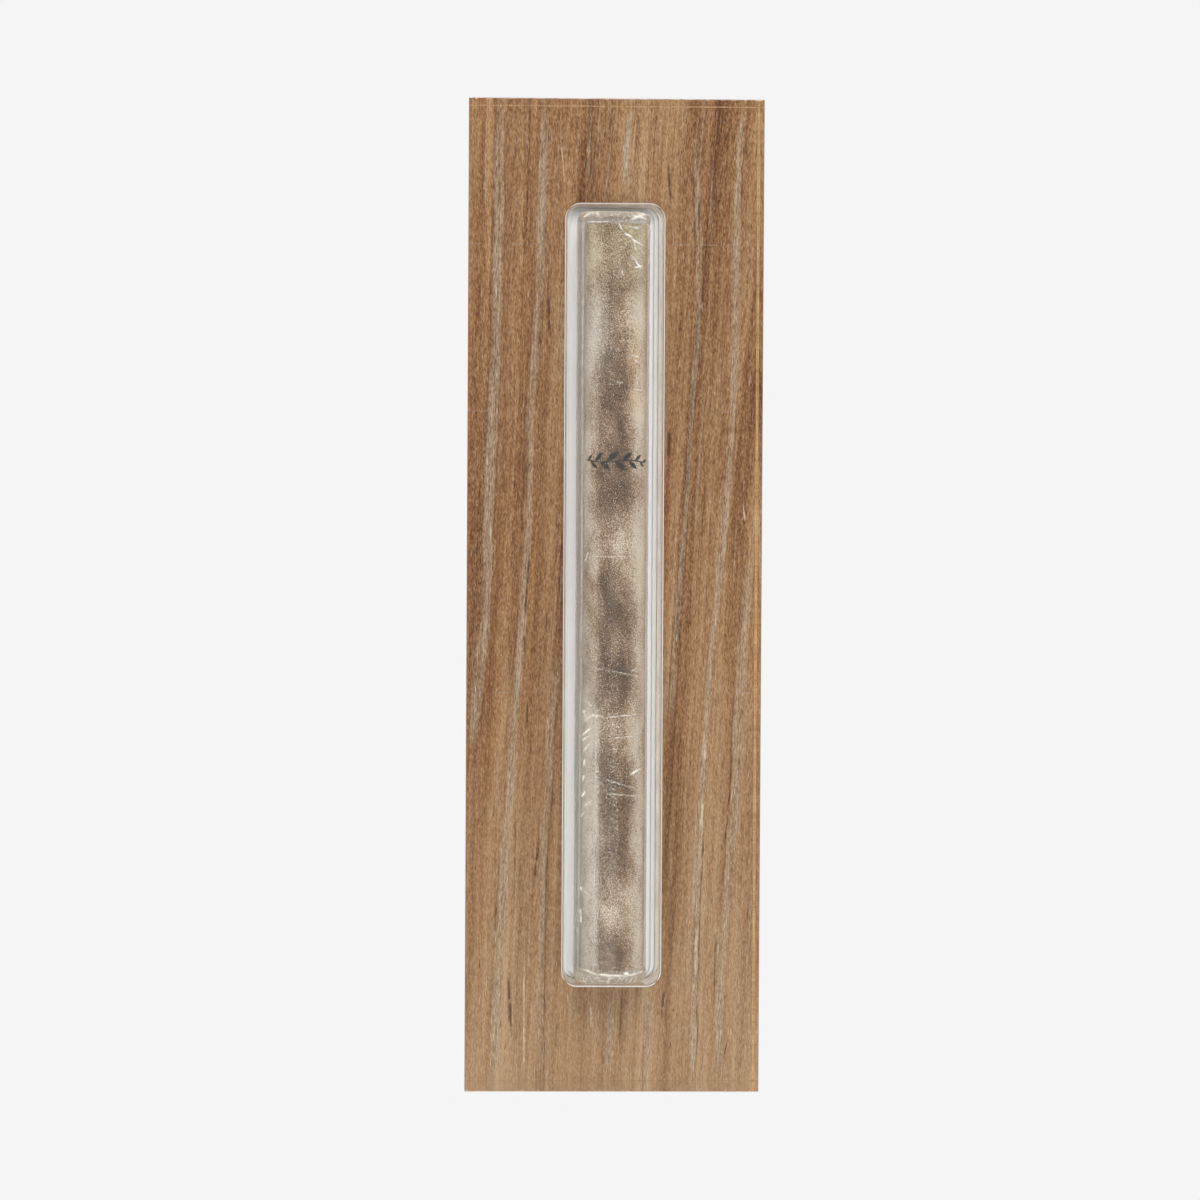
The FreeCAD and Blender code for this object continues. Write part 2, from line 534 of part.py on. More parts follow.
span = size("sleeve_width") - 2 * size("sleeve_radius")
SPAN = "Sizes.sleeve_width - 2 * Sizes.sleeve_radius"
add_stadium(sk, "outside", "Sizes.sleeve_radius", SPAN, size("sleeve_radius"), span)
add_stadium(sk, "inside", "Sizes.sleeve_radius - Sizes.sleeve_wall", SPAN,
            size("sleeve_radius") - size("sleeve_wall"), span)
sleeve_pad = pad(scroll_sleeve, sk, "sleeve_pad", "Sizes.sleeve_length")
doc.recompute()
ro, ri = size("sleeve_radius"), size("sleeve_radius") - size("sleeve_wall")
check_volume(sleeve_pad, (math.pi * (ro * ro - ri * ri) + 2 * span * (ro - ri)) * size("sleeve_length"),
             "film sleeve")
# the sleeve is set so that its right-hand arc is concentric with the roll
scroll_sleeve.setExpression("Placement.Base.x", "Sizes.roll_side - (%s) / 2" % SPAN)
scroll_sleeve.setExpression("Placement.Base.y", ROLL_Y)
scroll_sleeve.setExpression("Placement.Base.z", "-Sizes.pocket_height / 2")

# ---------------------------------------------------------------------------
# Check every object, then write one STEP file per piece
# ---------------------------------------------------------------------------
doc.recompute()
for obj in doc.Objects:
    if "Invalid" in obj.State or "Error" in obj.State:
        raise RuntimeError("%s failed: %s" % (obj.Label, obj.State))

PIECES = [clear_block, front_bond_film, wood_veneer, rear_bond_film, back_frame,
          mounting_plate, foam_pads, release_liners, parchment_scroll, scroll_sleeve]
for body in PIECES:
    shape = body.Shape
    if shape.isNull() or not shape.isValid() or not shape.Solids:
        raise RuntimeError("%s has no valid solid" % body.Label)
    box = shape.BoundBox
    print("%-18s solids %d  volume %10.2f  x %.2f..%.2f  y %.2f..%.2f  z %.2f..%.2f" % (
        body.Label, len(shape.Solids), shape.Volume,
        box.XMin, box.XMax, box.YMin, box.YMax, box.ZMin, box.ZMax))
for body in PIECES:
    body.Shape.exportStep(os.path.join("parts", body.Label + ".step"))
print("wrote %d pieces" % len(PIECES))
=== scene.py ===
import json
import math
import random

import bpy
import bmesh
from mathutils import Matrix, Vector, noise

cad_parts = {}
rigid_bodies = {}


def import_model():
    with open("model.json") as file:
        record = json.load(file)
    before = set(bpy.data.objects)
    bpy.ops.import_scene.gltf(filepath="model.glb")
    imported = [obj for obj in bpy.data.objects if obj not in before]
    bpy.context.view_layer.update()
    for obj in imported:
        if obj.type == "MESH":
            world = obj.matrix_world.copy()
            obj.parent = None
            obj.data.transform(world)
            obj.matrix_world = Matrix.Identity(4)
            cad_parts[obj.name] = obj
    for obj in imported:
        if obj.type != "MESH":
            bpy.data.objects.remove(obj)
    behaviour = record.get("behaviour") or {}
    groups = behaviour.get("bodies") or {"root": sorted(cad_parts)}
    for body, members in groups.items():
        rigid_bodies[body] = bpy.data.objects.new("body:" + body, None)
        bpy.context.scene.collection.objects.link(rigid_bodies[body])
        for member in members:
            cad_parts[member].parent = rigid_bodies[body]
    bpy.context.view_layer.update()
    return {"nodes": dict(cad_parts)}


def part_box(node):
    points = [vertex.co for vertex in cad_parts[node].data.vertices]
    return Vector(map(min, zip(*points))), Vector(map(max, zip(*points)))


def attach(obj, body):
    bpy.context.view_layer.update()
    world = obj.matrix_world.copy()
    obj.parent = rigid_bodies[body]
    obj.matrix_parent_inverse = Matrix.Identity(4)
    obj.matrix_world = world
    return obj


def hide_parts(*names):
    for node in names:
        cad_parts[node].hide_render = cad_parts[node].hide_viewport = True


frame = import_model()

MM = 0.001
nodes = frame["nodes"]
scene = bpy.context.scene


def rgb(r, g, b, a=1.0):
    """A display colour, 0 to 255, as the linear colour that nodes use."""
    def lin(v):
        v = v / 255.0
        return v / 12.92 if v <= 0.04045 else ((v + 0.055) / 1.055) ** 2.4
    return (lin(r), lin(g), lin(b), a)


def smooth(a, b, v):
    t = min(1.0, max(0.0, (v - a) / (b - a)))
    return t * t * (3 - 2 * t)


# ---------------------------------------------------------------------------
# Writing node materials
# ---------------------------------------------------------------------------
class Graph:
    """Builds one node material. A value may be a number, a tuple or another node's output."""

    def __init__(self, name):
        self.material = bpy.data.materials.new(name)
        self.material.use_nodes = True
        self.tree = self.material.node_tree
        self.tree.nodes.clear()
        self.output = self.tree.nodes.new("ShaderNodeOutputMaterial")

    def node(self, kind, **settings):
        n = self.tree.nodes.new("ShaderNode" + kind)
        for key, value in settings.items():
            setattr(n, key, value)
        return n

    def put(self, socket, value):
        if value is None:
            return
        if isinstance(value, bpy.types.NodeSocket):
            self.tree.links.new(value, socket)
        else:
            socket.default_value = value

    def math(self, op, a, b=None, c=None, clamp=False):
        n = self.node("Math", operation=op, use_clamp=clamp)
        for i, v in enumerate((a, b, c)):
            self.put(n.inputs[i], v)
        return n.outputs[0]

    def add(self, a, b): return self.math("ADD", a, b)
    def sub(self, a, b): return self.math("SUBTRACT", a, b)
    def mul(self, a, b): return self.math("MULTIPLY", a, b)
    def div(self, a, b): return self.math("DIVIDE", a, b)
    def mad(self, a, b, c): return self.math("MULTIPLY_ADD", a, b, c)
    def high(self, a, b): return self.math("MAXIMUM", a, b)
    def low(self, a, b): return self.math("MINIMUM", a, b)
    def size(self, a): return self.math("ABSOLUTE", a)

    def place(self):
        """Object coordinates in millimetres, as three numbers."""
        tc = self.node("TexCoord")
        scale = self.node("VectorMath", operation="SCALE")
        self.put(scale.inputs[0], tc.outputs["Object"])
        scale.inputs["Scale"].default_value = 1000.0
        sep = self.node("SeparateXYZ")
        self.put(sep.inputs[0], scale.outputs[0])
        return sep.outputs[0], sep.outputs[1], sep.outputs[2]

    def vec(self, x=0.0, y=0.0, z=0.0):
        n = self.node("CombineXYZ")
        for i, v in enumerate((x, y, z)):
            self.put(n.inputs[i], v)
        return n.outputs[0]

    def noise(self, vector, scale=1.0, detail=2.0, rough=0.5, warp=0.0, dims="3D"):
        n = self.node("TexNoise", noise_dimensions=dims)
        self.put(n.inputs["Vector"], vector)
        n.inputs["Scale"].default_value = scale
        n.inputs["Detail"].default_value = detail
        n.inputs["Roughness"].default_value = rough
        n.inputs["Distortion"].default_value = warp
        return n.outputs[0]

    def cells(self, vector, scale=1.0, feature="F1", jitter=1.0, out="Distance"):
        n = self.node("TexVoronoi", feature=feature)
        self.put(n.inputs["Vector"], vector)
        n.inputs["Scale"].default_value = scale
        n.inputs["Randomness"].default_value = jitter
        return n.outputs[out]

    def fit(self, value, a, b, lo=0.0, hi=1.0, soft=True):
        n = self.node("MapRange", interpolation_type="SMOOTHSTEP" if soft else "LINEAR")
        for i, v in enumerate((value, a, b, lo, hi)):
            self.put(n.inputs[i], v)
        return n.outputs[0]

    def ramp(self, factor, stops, kind="LINEAR"):
        n = self.node("ValToRGB")
        n.color_ramp.interpolation = kind
        e = n.color_ramp.elements
        e[0].position, e[0].color = stops[0]
        e[1].position, e[1].color = stops[-1]
        for pos, col in stops[1:-1]:
            s = e.new(pos)
            s.color = col
        self.put(n.inputs[0], factor)
        return n.outputs[0]

    def mix(self, factor, a, b, how="MIX"):
        n = self.node("Mix", data_type="RGBA", blend_type=how)
        self.put(n.inputs[0], factor)
        self.put(n.inputs[6], a)
        self.put(n.inputs[7], b)
        return n.outputs[2]

    def curve(self, value, points):
        """A smooth function of one number, both from 0 to 1."""
        n = self.node("FloatCurve")
        c = n.mapping.curves[0]
        c.points[0].location = points[0]
        c.points[1].location = points[-1]
        for p in points[1:-1]:
            c.points.new(*p)
        n.mapping.update()
        self.put(n.inputs["Value"], value)
        return n.outputs[0]

    def bump(self, height, strength, distance):
        n = self.node("Bump")
        n.inputs["Strength"].default_value = strength
        n.inputs["Distance"].default_value = distance
        self.put(n.inputs["Height"], height)
        return n.outputs[0]

    def principled(self, **values):
        n = self.node("BsdfPrincipled")
        for key, value in values.items():
            self.put(n.inputs[key.replace("_", " ")], value)
        return n.outputs[0]

    def done(self, surface):
        self.put(self.output.inputs["Surface"], surface)
        return self.material


# ---------------------------------------------------------------------------
# Camera, light, floor
# ---------------------------------------------------------------------------
eye = Vector((-0.02325, -0.6746, 0.0155))
target = Vector((-0.00225, -0.0246, -0.00055))
cam_data = bpy.data.cameras.new("camera")
cam_data.sensor_width = 36.0
cam_data.lens = 123.9
cam_data.clip_start = 0.01
cam = bpy.data.objects.new("camera", cam_data)
scene.collection.objects.link(cam)
cam.matrix_world = (
    Matrix.Translation(eye)
    @ (target - eye).to_track_quat("-Z", "Y").to_matrix().to_4x4()
    @ Matrix.Rotation(math.radians(0.318), 4, "Z")
)
scene.camera = cam
scene.view_settings.view_transform = "Standard"
scene.view_settings.look = "None"

world = bpy.data.worlds.new("studio")
scene.world = world
world.use_nodes = True
wt = world.node_tree
wt.nodes.clear()
w_out = wt.nodes.new("ShaderNodeOutputWorld")
w_mix = wt.nodes.new("ShaderNodeMixShader")
w_path = wt.nodes.new("ShaderNodeLightPath")
w_seen = wt.nodes.new("ShaderNodeBackground")
w_seen.inputs["Color"].default_value = (0.913, 0.913, 0.913, 1)
w_lit = wt.nodes.new("ShaderNodeBackground")
w_tc = wt.nodes.new("ShaderNodeTexCoord")
w_sep = wt.nodes.new("ShaderNodeSeparateXYZ")
w_abs = wt.nodes.new("ShaderNodeMath")
w_abs.operation = "ABSOLUTE"
w_ramp = wt.nodes.new("ShaderNodeValToRGB")
w_ramp.color_ramp.interpolation = "EASE"
e = w_ramp.color_ramp.elements
e[0].position, e[0].color = 0.15, (0.42, 0.42, 0.425, 1)
e[1].position, e[1].color = 0.95, (0.75, 0.742, 0.73, 1)
wt.links.new(w_tc.outputs["Generated"], w_sep.inputs[0])
wt.links.new(w_sep.outputs[0], w_abs.inputs[0])
w_absz = wt.nodes.new("ShaderNodeMath")
w_absz.operation = "ABSOLUTE"
wt.links.new(w_sep.outputs[2], w_absz.inputs[0])
w_up = wt.nodes.new("ShaderNodeMath")
w_up.operation = "MULTIPLY"
w_up.inputs[1].default_value = 0.85
wt.links.new(w_absz.outputs[0], w_up.inputs[0])
w_max = wt.nodes.new("ShaderNodeMath")
w_max.operation = "MAXIMUM"
wt.links.new(w_abs.outputs[0], w_max.inputs[0])
wt.links.new(w_up.outputs[0], w_max.inputs[1])
wt.links.new(w_max.outputs[0], w_ramp.inputs[0])
wt.links.new(w_ramp.outputs[0], w_lit.inputs["Color"])
wt.links.new(w_path.outputs["Is Camera Ray"], w_mix.inputs[0])
wt.links.new(w_lit.outputs[0], w_mix.inputs[1])
wt.links.new(w_seen.outputs[0], w_mix.inputs[2])
wt.links.new(w_mix.outputs[0], w_out.inputs["Surface"])
w_lit.inputs["Strength"].default_value = 1.0
w_seen.inputs["Strength"].default_value = 1.0


def softbox(name, at, aim, width, height, watts, tint=(1.0, 1.0, 1.0)):
    data = bpy.data.lights.new(name, "AREA")
    data.shape = "RECTANGLE"
    data.size, data.size_y = width, height
    data.energy = watts
    data.color = tint
    ob = bpy.data.objects.new(name, data)
    scene.collection.objects.link(ob)
    ob.location = at
    ob.rotation_euler = (Vector(aim) - Vector(at)).to_track_quat("-Z", "Y").to_euler()
    ob.visible_camera = False
    return ob


softbox("softbox_left", (-1.10, 0.00, 0.12), (0, -0.012, 0), 0.42, 1.30, 3.6)
softbox("softbox_right", (1.10, -0.02, 0.12), (0, -0.012, 0), 0.42, 1.30, 4.2, (1.0, 0.985, 0.96))
softbox("strip_upper", (0.05, -0.95, 0.74), (0, -0.012, 0), 0.24, 0.62, 7.8)
softbox("strip_lower", (0.04, -1.00, -0.32), (0, -0.012, 0), 0.30, 0.14, 3.2)
softbox("softbox_top", (0.0, 0.05, 1.25), (0, -0.012, 0), 0.9, 0.35, 4.0)
softbox("softbox_rear", (0.30, 1.15, 0.55), (0, 0, 0), 1.0, 1.0, 5.0)
for ob in scene.collection.objects:
    if ob.type == "LIGHT":
        ob.visible_transmission = False
        ob.visible_glossy = ob.name.startswith("strip")

# floor: a wide pale disc well below the piece, fading into the surroundings at its rim
bm = bmesh.new()
rings = [0.0, 0.25, 0.5, 0.8, 1.1, 1.4, 1.7]
centre_v = bm.verts.new((0, 0, -0.40))
last = None
for r in rings[1:]:
    row = [bm.verts.new((r * math.cos(a * math.tau / 96), r * math.sin(a * math.tau / 96), -0.40)) for a in range(96)]
    for i in range(96):
        j = (i + 1) % 96
        if last is None:
            bm.faces.new((centre_v, row[i], row[j]))
        else:
            bm.faces.new((last[i], row[i], row[j], last[j]))
    last = row
mesh = bpy.data.meshes.new("floor")
bm.to_mesh(mesh)
bm.free()
floor = bpy.data.objects.new("floor", mesh)
scene.collection.objects.link(floor)
g = Graph("floor_paper")
x, y, z = g.place()
rad = g.math("SQRT", g.add(g.mul(x, x), g.mul(y, y)))
fade = g.fit(rad, 900.0, 1650.0)
grain = g.noise(g.vec(x, y, 0.0), 0.05, 3.0)
paper = g.principled(
    Base_Color=g.ramp(grain, [(0.3, (0.60, 0.60, 0.60, 1)), (0.7, (0.63, 0.63, 0.63, 1))]),
    Roughness=0.9,
)
clear = g.node("BsdfTransparent").outputs[0]
m = g.node("MixShader")
g.put(m.inputs[0], fade)
g.put(m.inputs[1], paper)
g.put(m.inputs[2], clear)
mesh.materials.append(g.done(m.outputs[0]))


# ---------------------------------------------------------------------------
# Mesh helpers
# ---------------------------------------------------------------------------
def add_object(name, bm, material, body, replaced=(), smooth_all=None):
    me = bpy.data.meshes.new(name)
    bm.to_mesh(me)
    bm.free()
    if smooth_all is not None:
        me.polygons.foreach_set("use_smooth", [smooth_all] * len(me.polygons))
    me.materials.append(material)
    ob = bpy.data.objects.new(name, me)
    scene.collection.objects.link(ob)
    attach(ob, body)
    if replaced:
        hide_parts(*replaced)
    return ob


def rounded_ring(half_w, half_h, radius, y, seg):
    """Points round a rounded rectangle in the XZ plane, in metres from millimetres, with their outward directions."""
    pts = []
    radius = max(radius, 1e-4)
    for cx, cz, a0 in (
        (half_w - radius, half_h - radius, 0.0),
        (-half_w + radius, half_h - radius, 90.0),
        (-half_w + radius, -half_h + radius, 180.0),
        (half_w - radius, -half_h + radius, 270.0),
    ):
        for k in range(seg + 1):
            a = math.radians(a0 + 90.0 * k / seg)
            d = (math.cos(a), math.sin(a))
            pts.append((Vector(((cx + radius * d[0]) * MM, y * MM, (cz + radius * d[1]) * MM)), Vector((d[0], 0, d[1]))))
    return pts


class Loft:
    """Joins rings of equal count, with each vertex's own normal, so that flat faces stay flat and small rounds stay round."""

    def __init__(self):
        self.verts, self.faces, self.normals = [], [], []

    def ring(self, points, lean, axis):
        """lean: 0 for a normal straight outwards, 1 for one along the axis."""
        ids = []
        for p, d in points:
            self.verts.append(p)
            a = lean * math.pi / 2
            self.normals.append((d * math.cos(a) + Vector((0, axis, 0)) * math.sin(a)).normalized())
            ids.append(len(self.verts) - 1)
        return ids

    def join(self, a, b, flip=False):
        n = len(a)
        for i in range(n):
            j = (i + 1) % n
            f = (a[i], a[j], b[j], b[i])
            self.faces.append((f[::-1] if flip else f, None))

    def flat_join(self, a, b, normal, flip=False):
        n = len(a)
        for i in range(n):
            j = (i + 1) % n
            f = (a[i], a[j], b[j], b[i])
            self.faces.append((f[::-1] if flip else f, normal))

    def cap(self, ring, normal, flip=False):
        self.faces.append((tuple(ring[::-1]) if flip else tuple(ring), normal))

    def mesh(self, name):
        me = bpy.data.meshes.new(name)
        me.from_pydata([tuple(v) for v in self.verts], [], [f for f, _ in self.faces])
        me.polygons.foreach_set("use_smooth", [True] * len(me.polygons))
        loops = []
        for f, flat in self.faces:
            for i in f:
                loops.append(tuple(flat) if flat is not None else tuple(self.normals[i]))
        me.normals_split_custom_set(loops)
        me.validate()
        return me


def add_mesh(name, me, material, body, replaced=()):
    me.materials.append(material)
    ob = bpy.data.objects.new(name, me)
    scene.collection.objects.link(ob)
    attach(ob, body)
    if replaced:
        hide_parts(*replaced)
    return ob


# ---------------------------------------------------------------------------
# Clear block
# ---------------------------------------------------------------------------
lo, hi = (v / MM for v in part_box("clear_block"))
HW, HH = hi.x, hi.z                      # 23.25, 78.25
FRONT_Y = lo.y                           # -24.6
VENEER_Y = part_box("wood_veneer")[0].y / MM   # -5.45
REAR_Y = VENEER_Y + 0.01                 # in contact with the veneer
POCKET = (8.0, 62.25, 2.6, -18.30)       # half width, half height, corner, floor
SEG = 10
EDGE = 0.14

block = Loft()
outer_rear = block.ring(rounded_ring(HW, HH, EDGE, REAR_Y, SEG), 0, -1)
prev = outer_rear
first = block.ring(rounded_ring(HW, HH, EDGE, FRONT_Y + EDGE, SEG), 0, -1)
block.join(prev, first)
prev = first
for k in range(1, 5):
    a = math.pi / 2 * k / 4
    inset = EDGE * (1 - math.cos(a))
    ring = block.ring(
        rounded_ring(HW - inset, HH - inset, EDGE - inset + 1e-3, FRONT_Y + EDGE - EDGE * math.sin(a), SEG), k / 4, -1)
    block.join(prev, ring)
    prev = ring
block.cap(prev, (0, -1, 0))
pw, ph, pr, pf = POCKET
mouth = block.ring([(p, -d) for p, d in rounded_ring(pw, ph, pr, REAR_Y, SEG)], 0, 1)
block.flat_join(outer_rear, mouth, (0, 1, 0), flip=True)
deep = block.ring([(p, -d) for p, d in rounded_ring(pw, ph, pr, pf + 0.5, SEG)], 0, 1)
block.join(mouth, deep, flip=True)
prev = deep
for k in range(1, 6):
    a = math.pi / 2 * k / 5
    inset = 0.5 * (1 - math.cos(a))
    ring = block.ring(
        [(p, -d) for p, d in rounded_ring(pw - inset, ph - inset, pr - inset, pf + 0.5 - 0.5 * math.sin(a), SEG)], k / 5, 1)
    block.join(prev, ring, flip=True)
    prev = ring
block.cap(prev, (0, 1, 0), flip=True)
block_mesh = block.mesh("acrylic_block")

g = Graph("polished_acrylic")
x, y, z = g.place()
# hairline polishing marks and a very faint unevenness, as on cast sheet worked by hand
marks = g.noise(g.vec(g.mul(x, 0.35), g.mul(y, 0.35), g.mul(z, 2.2)), 1.0, 4.0, 0.6)
hair = g.fit(g.cells(g.vec(g.mul(x, 0.9), g.mul(y, 0.9), g.mul(z, 0.05)), 1.0, "DISTANCE_TO_EDGE"), 0.0, 0.006, 1.0, 0.0)
glass = g.node("BsdfGlass")
glass.inputs["IOR"].default_value = 1.49
glass.inputs["Roughness"].default_value = 0.0
glass.inputs["Color"].default_value = (0.992, 0.994, 0.992, 1)
g.put(glass.inputs["Normal"], g.bump(g.add(marks, g.mul(hair, 0.05)), 0.02, 0.00001))
clear = g.node("BsdfTransparent")
clear.inputs["Color"].default_value = (0.97, 0.975, 0.97, 1)
path = g.node("LightPath")
dull = g.mul(path.outputs["Is Glossy Ray"], g.sub(1.0, path.outputs["Is Singular Ray"]))
through = g.high(g.high(path.outputs["Is Shadow Ray"], path.outputs["Is Diffuse Ray"]), dull)
m = g.node("MixShader")
g.put(m.inputs[0], through)
g.put(m.inputs[1], glass.outputs[0])
g.put(m.inputs[2], clear.outputs[0])
acrylic = g.done(m.outputs[0])
add_mesh("acrylic_block", block_mesh, acrylic, "case", ("clear_block",))

# ---------------------------------------------------------------------------
# Front adhesive film: a clear sheet with a matte border where it bridges the pocket's mouth
# ---------------------------------------------------------------------------
film = Loft()
fy0, fy1 = VENEER_Y - 0.15, VENEER_Y + 0.005
oa = film.ring(rounded_ring(HW - 0.2, HH - 0.2, 0.3, fy1, SEG), 0, -1)
ob_ = film.ring(rounded_ring(HW - 0.2, HH - 0.2, 0.3, fy0, SEG), 0, -1)
film.flat_join(oa, ob_, None)
ia = film.ring([(p, -d) for p, d in rounded_ring(7.5, 62.25, 2.0, fy1, SEG)], 0, 1)
ib = film.ring([(p, -d) for p, d in rounded_ring(7.5, 62.25, 2.0, fy0, SEG)], 0, 1)
film.flat_join(ia, ib, None, flip=True)
film.flat_join(oa, ia, (0, 1, 0), flip=True)
film.flat_join(ob_, ib, (0, -1, 0))
film_mesh = film.mesh("bond_sheet")

g = Graph("clear_adhesive_film")
x, y, z = g.place()
ax, az = g.size(x), g.size(z)
# the window's border: a thin milky beige strip of the film where it bridges the pocket's mouth
qx, qz = g.sub(ax, 5.4), g.sub(az, 59.65)
px_, pz_ = g.high(qx, 0.0), g.high(qz, 0.0)
outline = g.add(g.math("SQRT", g.add(g.mul(px_, px_), g.mul(pz_, pz_))), g.low(g.high(qx, qz), 0.0))
border = g.fit(outline, 2.61, 2.58)
patch = g.noise(g.vec(g.mul(x, 1.0), 0.0, g.mul(z, 0.25)), 1.0, 3.0, 0.55)
fine = g.noise(g.vec(g.mul(x, 6.0), 0.0, g.mul(z, 3.0)), 1.0, 2.0, 0.6)
milk = g.ramp(g.mad(patch, 0.7, g.mul(fine, 0.3)),
              [(0.3, rgb(172, 160, 148)), (0.5, rgb(192, 181, 170)), (0.72, rgb(208, 200, 190))])
milky = g.principled(Base_Color=milk, Roughness=0.55)
# faint ripples left by the roller show as thin pale lines across the veneer
lines = None
for at in (56.2, 29.4, -15.7, -61.4):
    d = g.size(g.sub(g.mad(fine, 0.1, z), at))
    one = g.fit(d, 0.0, 0.12, 1.0, 0.0)
    lines = one if lines is None else g.high(lines, one)
lines = g.mul(lines, g.fit(g.noise(g.vec(g.mul(x, 0.25), 0.0, g.mul(z, 0.05)), 1.0, 2.0), 0.46, 0.62))
specks = g.fit(g.cells(g.vec(x, 0.0, z), 0.45), 0.0, 0.035, 1.0, 0.0)
mark = g.mul(g.high(lines, g.mul(specks, 0.8)), 0.28)
clear = g.node("BsdfTransparent")
m = g.node("MixShader")
g.put(m.inputs[0], g.high(border, mark))
g.put(m.inputs[1], clear.outputs[0])
g.put(m.inputs[2], milky)
adhesive = g.done(m.outputs[0])
add_mesh("bond_sheet", film_mesh, adhesive, "case", ("front_bond_film",))

# the squeezed-out adhesive: a fine bead all round the veneer's edge, with small bubbles
rng = random.Random(11)
bubbles = [(1, 53.6, 0.20), (1, 50.7, 0.16), (1, 27.4, 0.22), (1, 8.0, 0.20), (1, -32.0, 0.19), (1, -54.7, 0.24), (1, -55.4, 0.17), (1, -78.0, 0.26)]
bubbles += [(2, rng.uniform(-70, 70), rng.uniform(0.06, 0.12)) for _ in range(6)]
bead = []
RIM = 23.12
STEPS = {1: 360, 0: 120, 2: 360, 3: 120}


def bead_radius(side, t):
    base = {1: 0.125, 0: 0.042, 2: 0.05, 3: 0.012}[side]
    wob = noise.noise(Vector((t * 0.35, side * 7.1, 0.0))) * 0.25 + noise.noise(Vector((t * 1.9, side * 3.3, 5.0))) * 0.15
    r = base * (1 + wob)
    for s, at, size in bubbles:
        if s == side:
            r += (size * 0.45) * math.exp(-((t - at) / (0.9 * size + 0.08)) ** 2)
    return min(r, {1: 0.155, 0: 0.055, 2: 0.075, 3: 0.018}[side])


corner = [(HW - 0.13, HH - 0.05), (-(HW - 0.08), HH - 0.05), (-(HW - 0.08), -(HH - 0.02)), (HW - 0.13, -(HH - 0.02))]
path_pts = []
for side, (a, b) in {0: (corner[0], corner[1]), 2: (corner[1], corner[2]), 3: (corner[2], corner[3]), 1: (corner[3], corner[0])}.items():
    n = STEPS[side]
    for k in range(n):
        t = k / n
        px = a[0] + (b[0] - a[0]) * t
        pz = a[1] + (b[1] - a[1]) * t
        path_pts.append((px, pz, bead_radius(side, pz if side in (1, 2) else px), side))
bm = bmesh.new()
rows = []
count = len(path_pts)
for i, (px, pz, r, side) in enumerate(path_pts):
    prv, nxt = path_pts[i - 1], path_pts[(i + 1) % count]
    t = Vector((nxt[0] - prv[0], 0, nxt[1] - prv[1])).normalized()
    out = Vector((t.z, 0, -t.x))
    if out.dot(Vector((px, 0, pz))) < 0:
        out = -out
    row = []
    for k in range(10):
        a = math.tau * k / 10
        # flattened against the veneer
        off = out * (r * math.cos(a)) + Vector((0, -1, 0)) * (max(-0.3, math.sin(a)) * r * 0.75)
        p = Vector((px, VENEER_Y, pz)) + off
        p.x, p.z = max(-HW + 0.03, min(HW - 0.03, p.x)), max(-HH + 0.03, min(HH - 0.03, p.z))
        row.append(bm.verts.new(p * MM))
    rows.append(row)
for i in range(count):
    a, b = rows[i], rows[(i + 1) % count]
    for k in range(10):
        l = (k + 1) % 10
        bm.faces.new((a[k], b[k], b[l], a[l]))
bmesh.ops.recalc_face_normals(bm, faces=bm.faces)

g = Graph("amber_glue_line")
x, y, z = g.place()
tone = g.noise(g.vec(g.mul(x, 1.2), 0.0, g.mul(z, 0.35)), 1.0, 3.0, 0.6)
spark = g.noise(g.vec(g.mul(x, 5.0), g.mul(y, 5.0), g.mul(z, 3.5)), 1.0, 2.0)
amber = g.ramp(g.mad(tone, 0.65, g.mul(spark, 0.35)),
               [(0.30, rgb(142, 102, 60)), (0.5, rgb(172, 130, 82)), (0.70, rgb(202, 164, 114))])
glow = g.principled(Base_Color=amber, Roughness=g.fit(spark, 0.3, 0.7, 0.2, 0.45),
                    Normal=g.bump(spark, 0.4, 0.00004))
add_object("bond_bead", bm, g.done(glow), "case", smooth_all=True)

# ---------------------------------------------------------------------------
# Limed wood
# ---------------------------------------------------------------------------
g = Graph("limed_oak")
x, y, z = g.place()
lean = g.mad(x, 0.00072, 0.049)
u0 = g.sub(x, g.mul(g.sub(z, 78.0), lean))
big = g.noise(g.vec(g.mul(u0, 0.055), g.mul(y, 0.05), g.mul(z, 0.016)), 1.0, 1.0)
mid = g.noise(g.vec(g.mul(u0, 0.30), 3.0, g.mul(z, 0.045)), 1.0, 2.0)
u = g.add(u0, g.add(g.mad(big, 2.6, -1.3), g.mad(mid, 0.7, -0.35)))

bands = g.noise(g.vec(g.mul(u, 0.30), g.mul(y, 0.1), g.mul(z, 0.006)), 1.0, 2.0, 0.55)
ribbons = g.noise(g.vec(g.mul(u, 0.95), 11.0, g.mul(z, 0.018)), 1.0, 2.0, 0.6)
fibre = g.noise(g.vec(g.mul(u, 1.9), g.mul(y, 1.0), g.mul(z, 0.09)), 1.0, 2.0, 0.6)
threads = g.noise(g.vec(g.mul(u, 3.1), 17.0, g.mul(z, 0.06)), 1.0, 1.0, 0.5)
hairs = g.noise(g.vec(g.mul(u, 4.6), g.mul(y, 2.0), g.mul(z, 0.50)), 1.0, 1.0, 0.6)
grit = g.noise(g.vec(g.mul(x, 6.8), g.mul(y, 3.0), g.mul(z, 1.9)), 1.0, 0.0, 0.5)
tone = g.mad(g.sub(bands, 0.5), 1.25, 0.49)
tone = g.mad(g.sub(ribbons, 0.5), 0.65, tone)
tone = g.mad(g.sub(fibre, 0.5), 0.38, tone)
tone = g.mad(g.sub(threads, 0.5), 0.34, tone)
tone = g.mad(g.sub(hairs, 0.5), 0.60, tone)
tone = g.mad(g.sub(grit, 0.5), 0.85, tone)
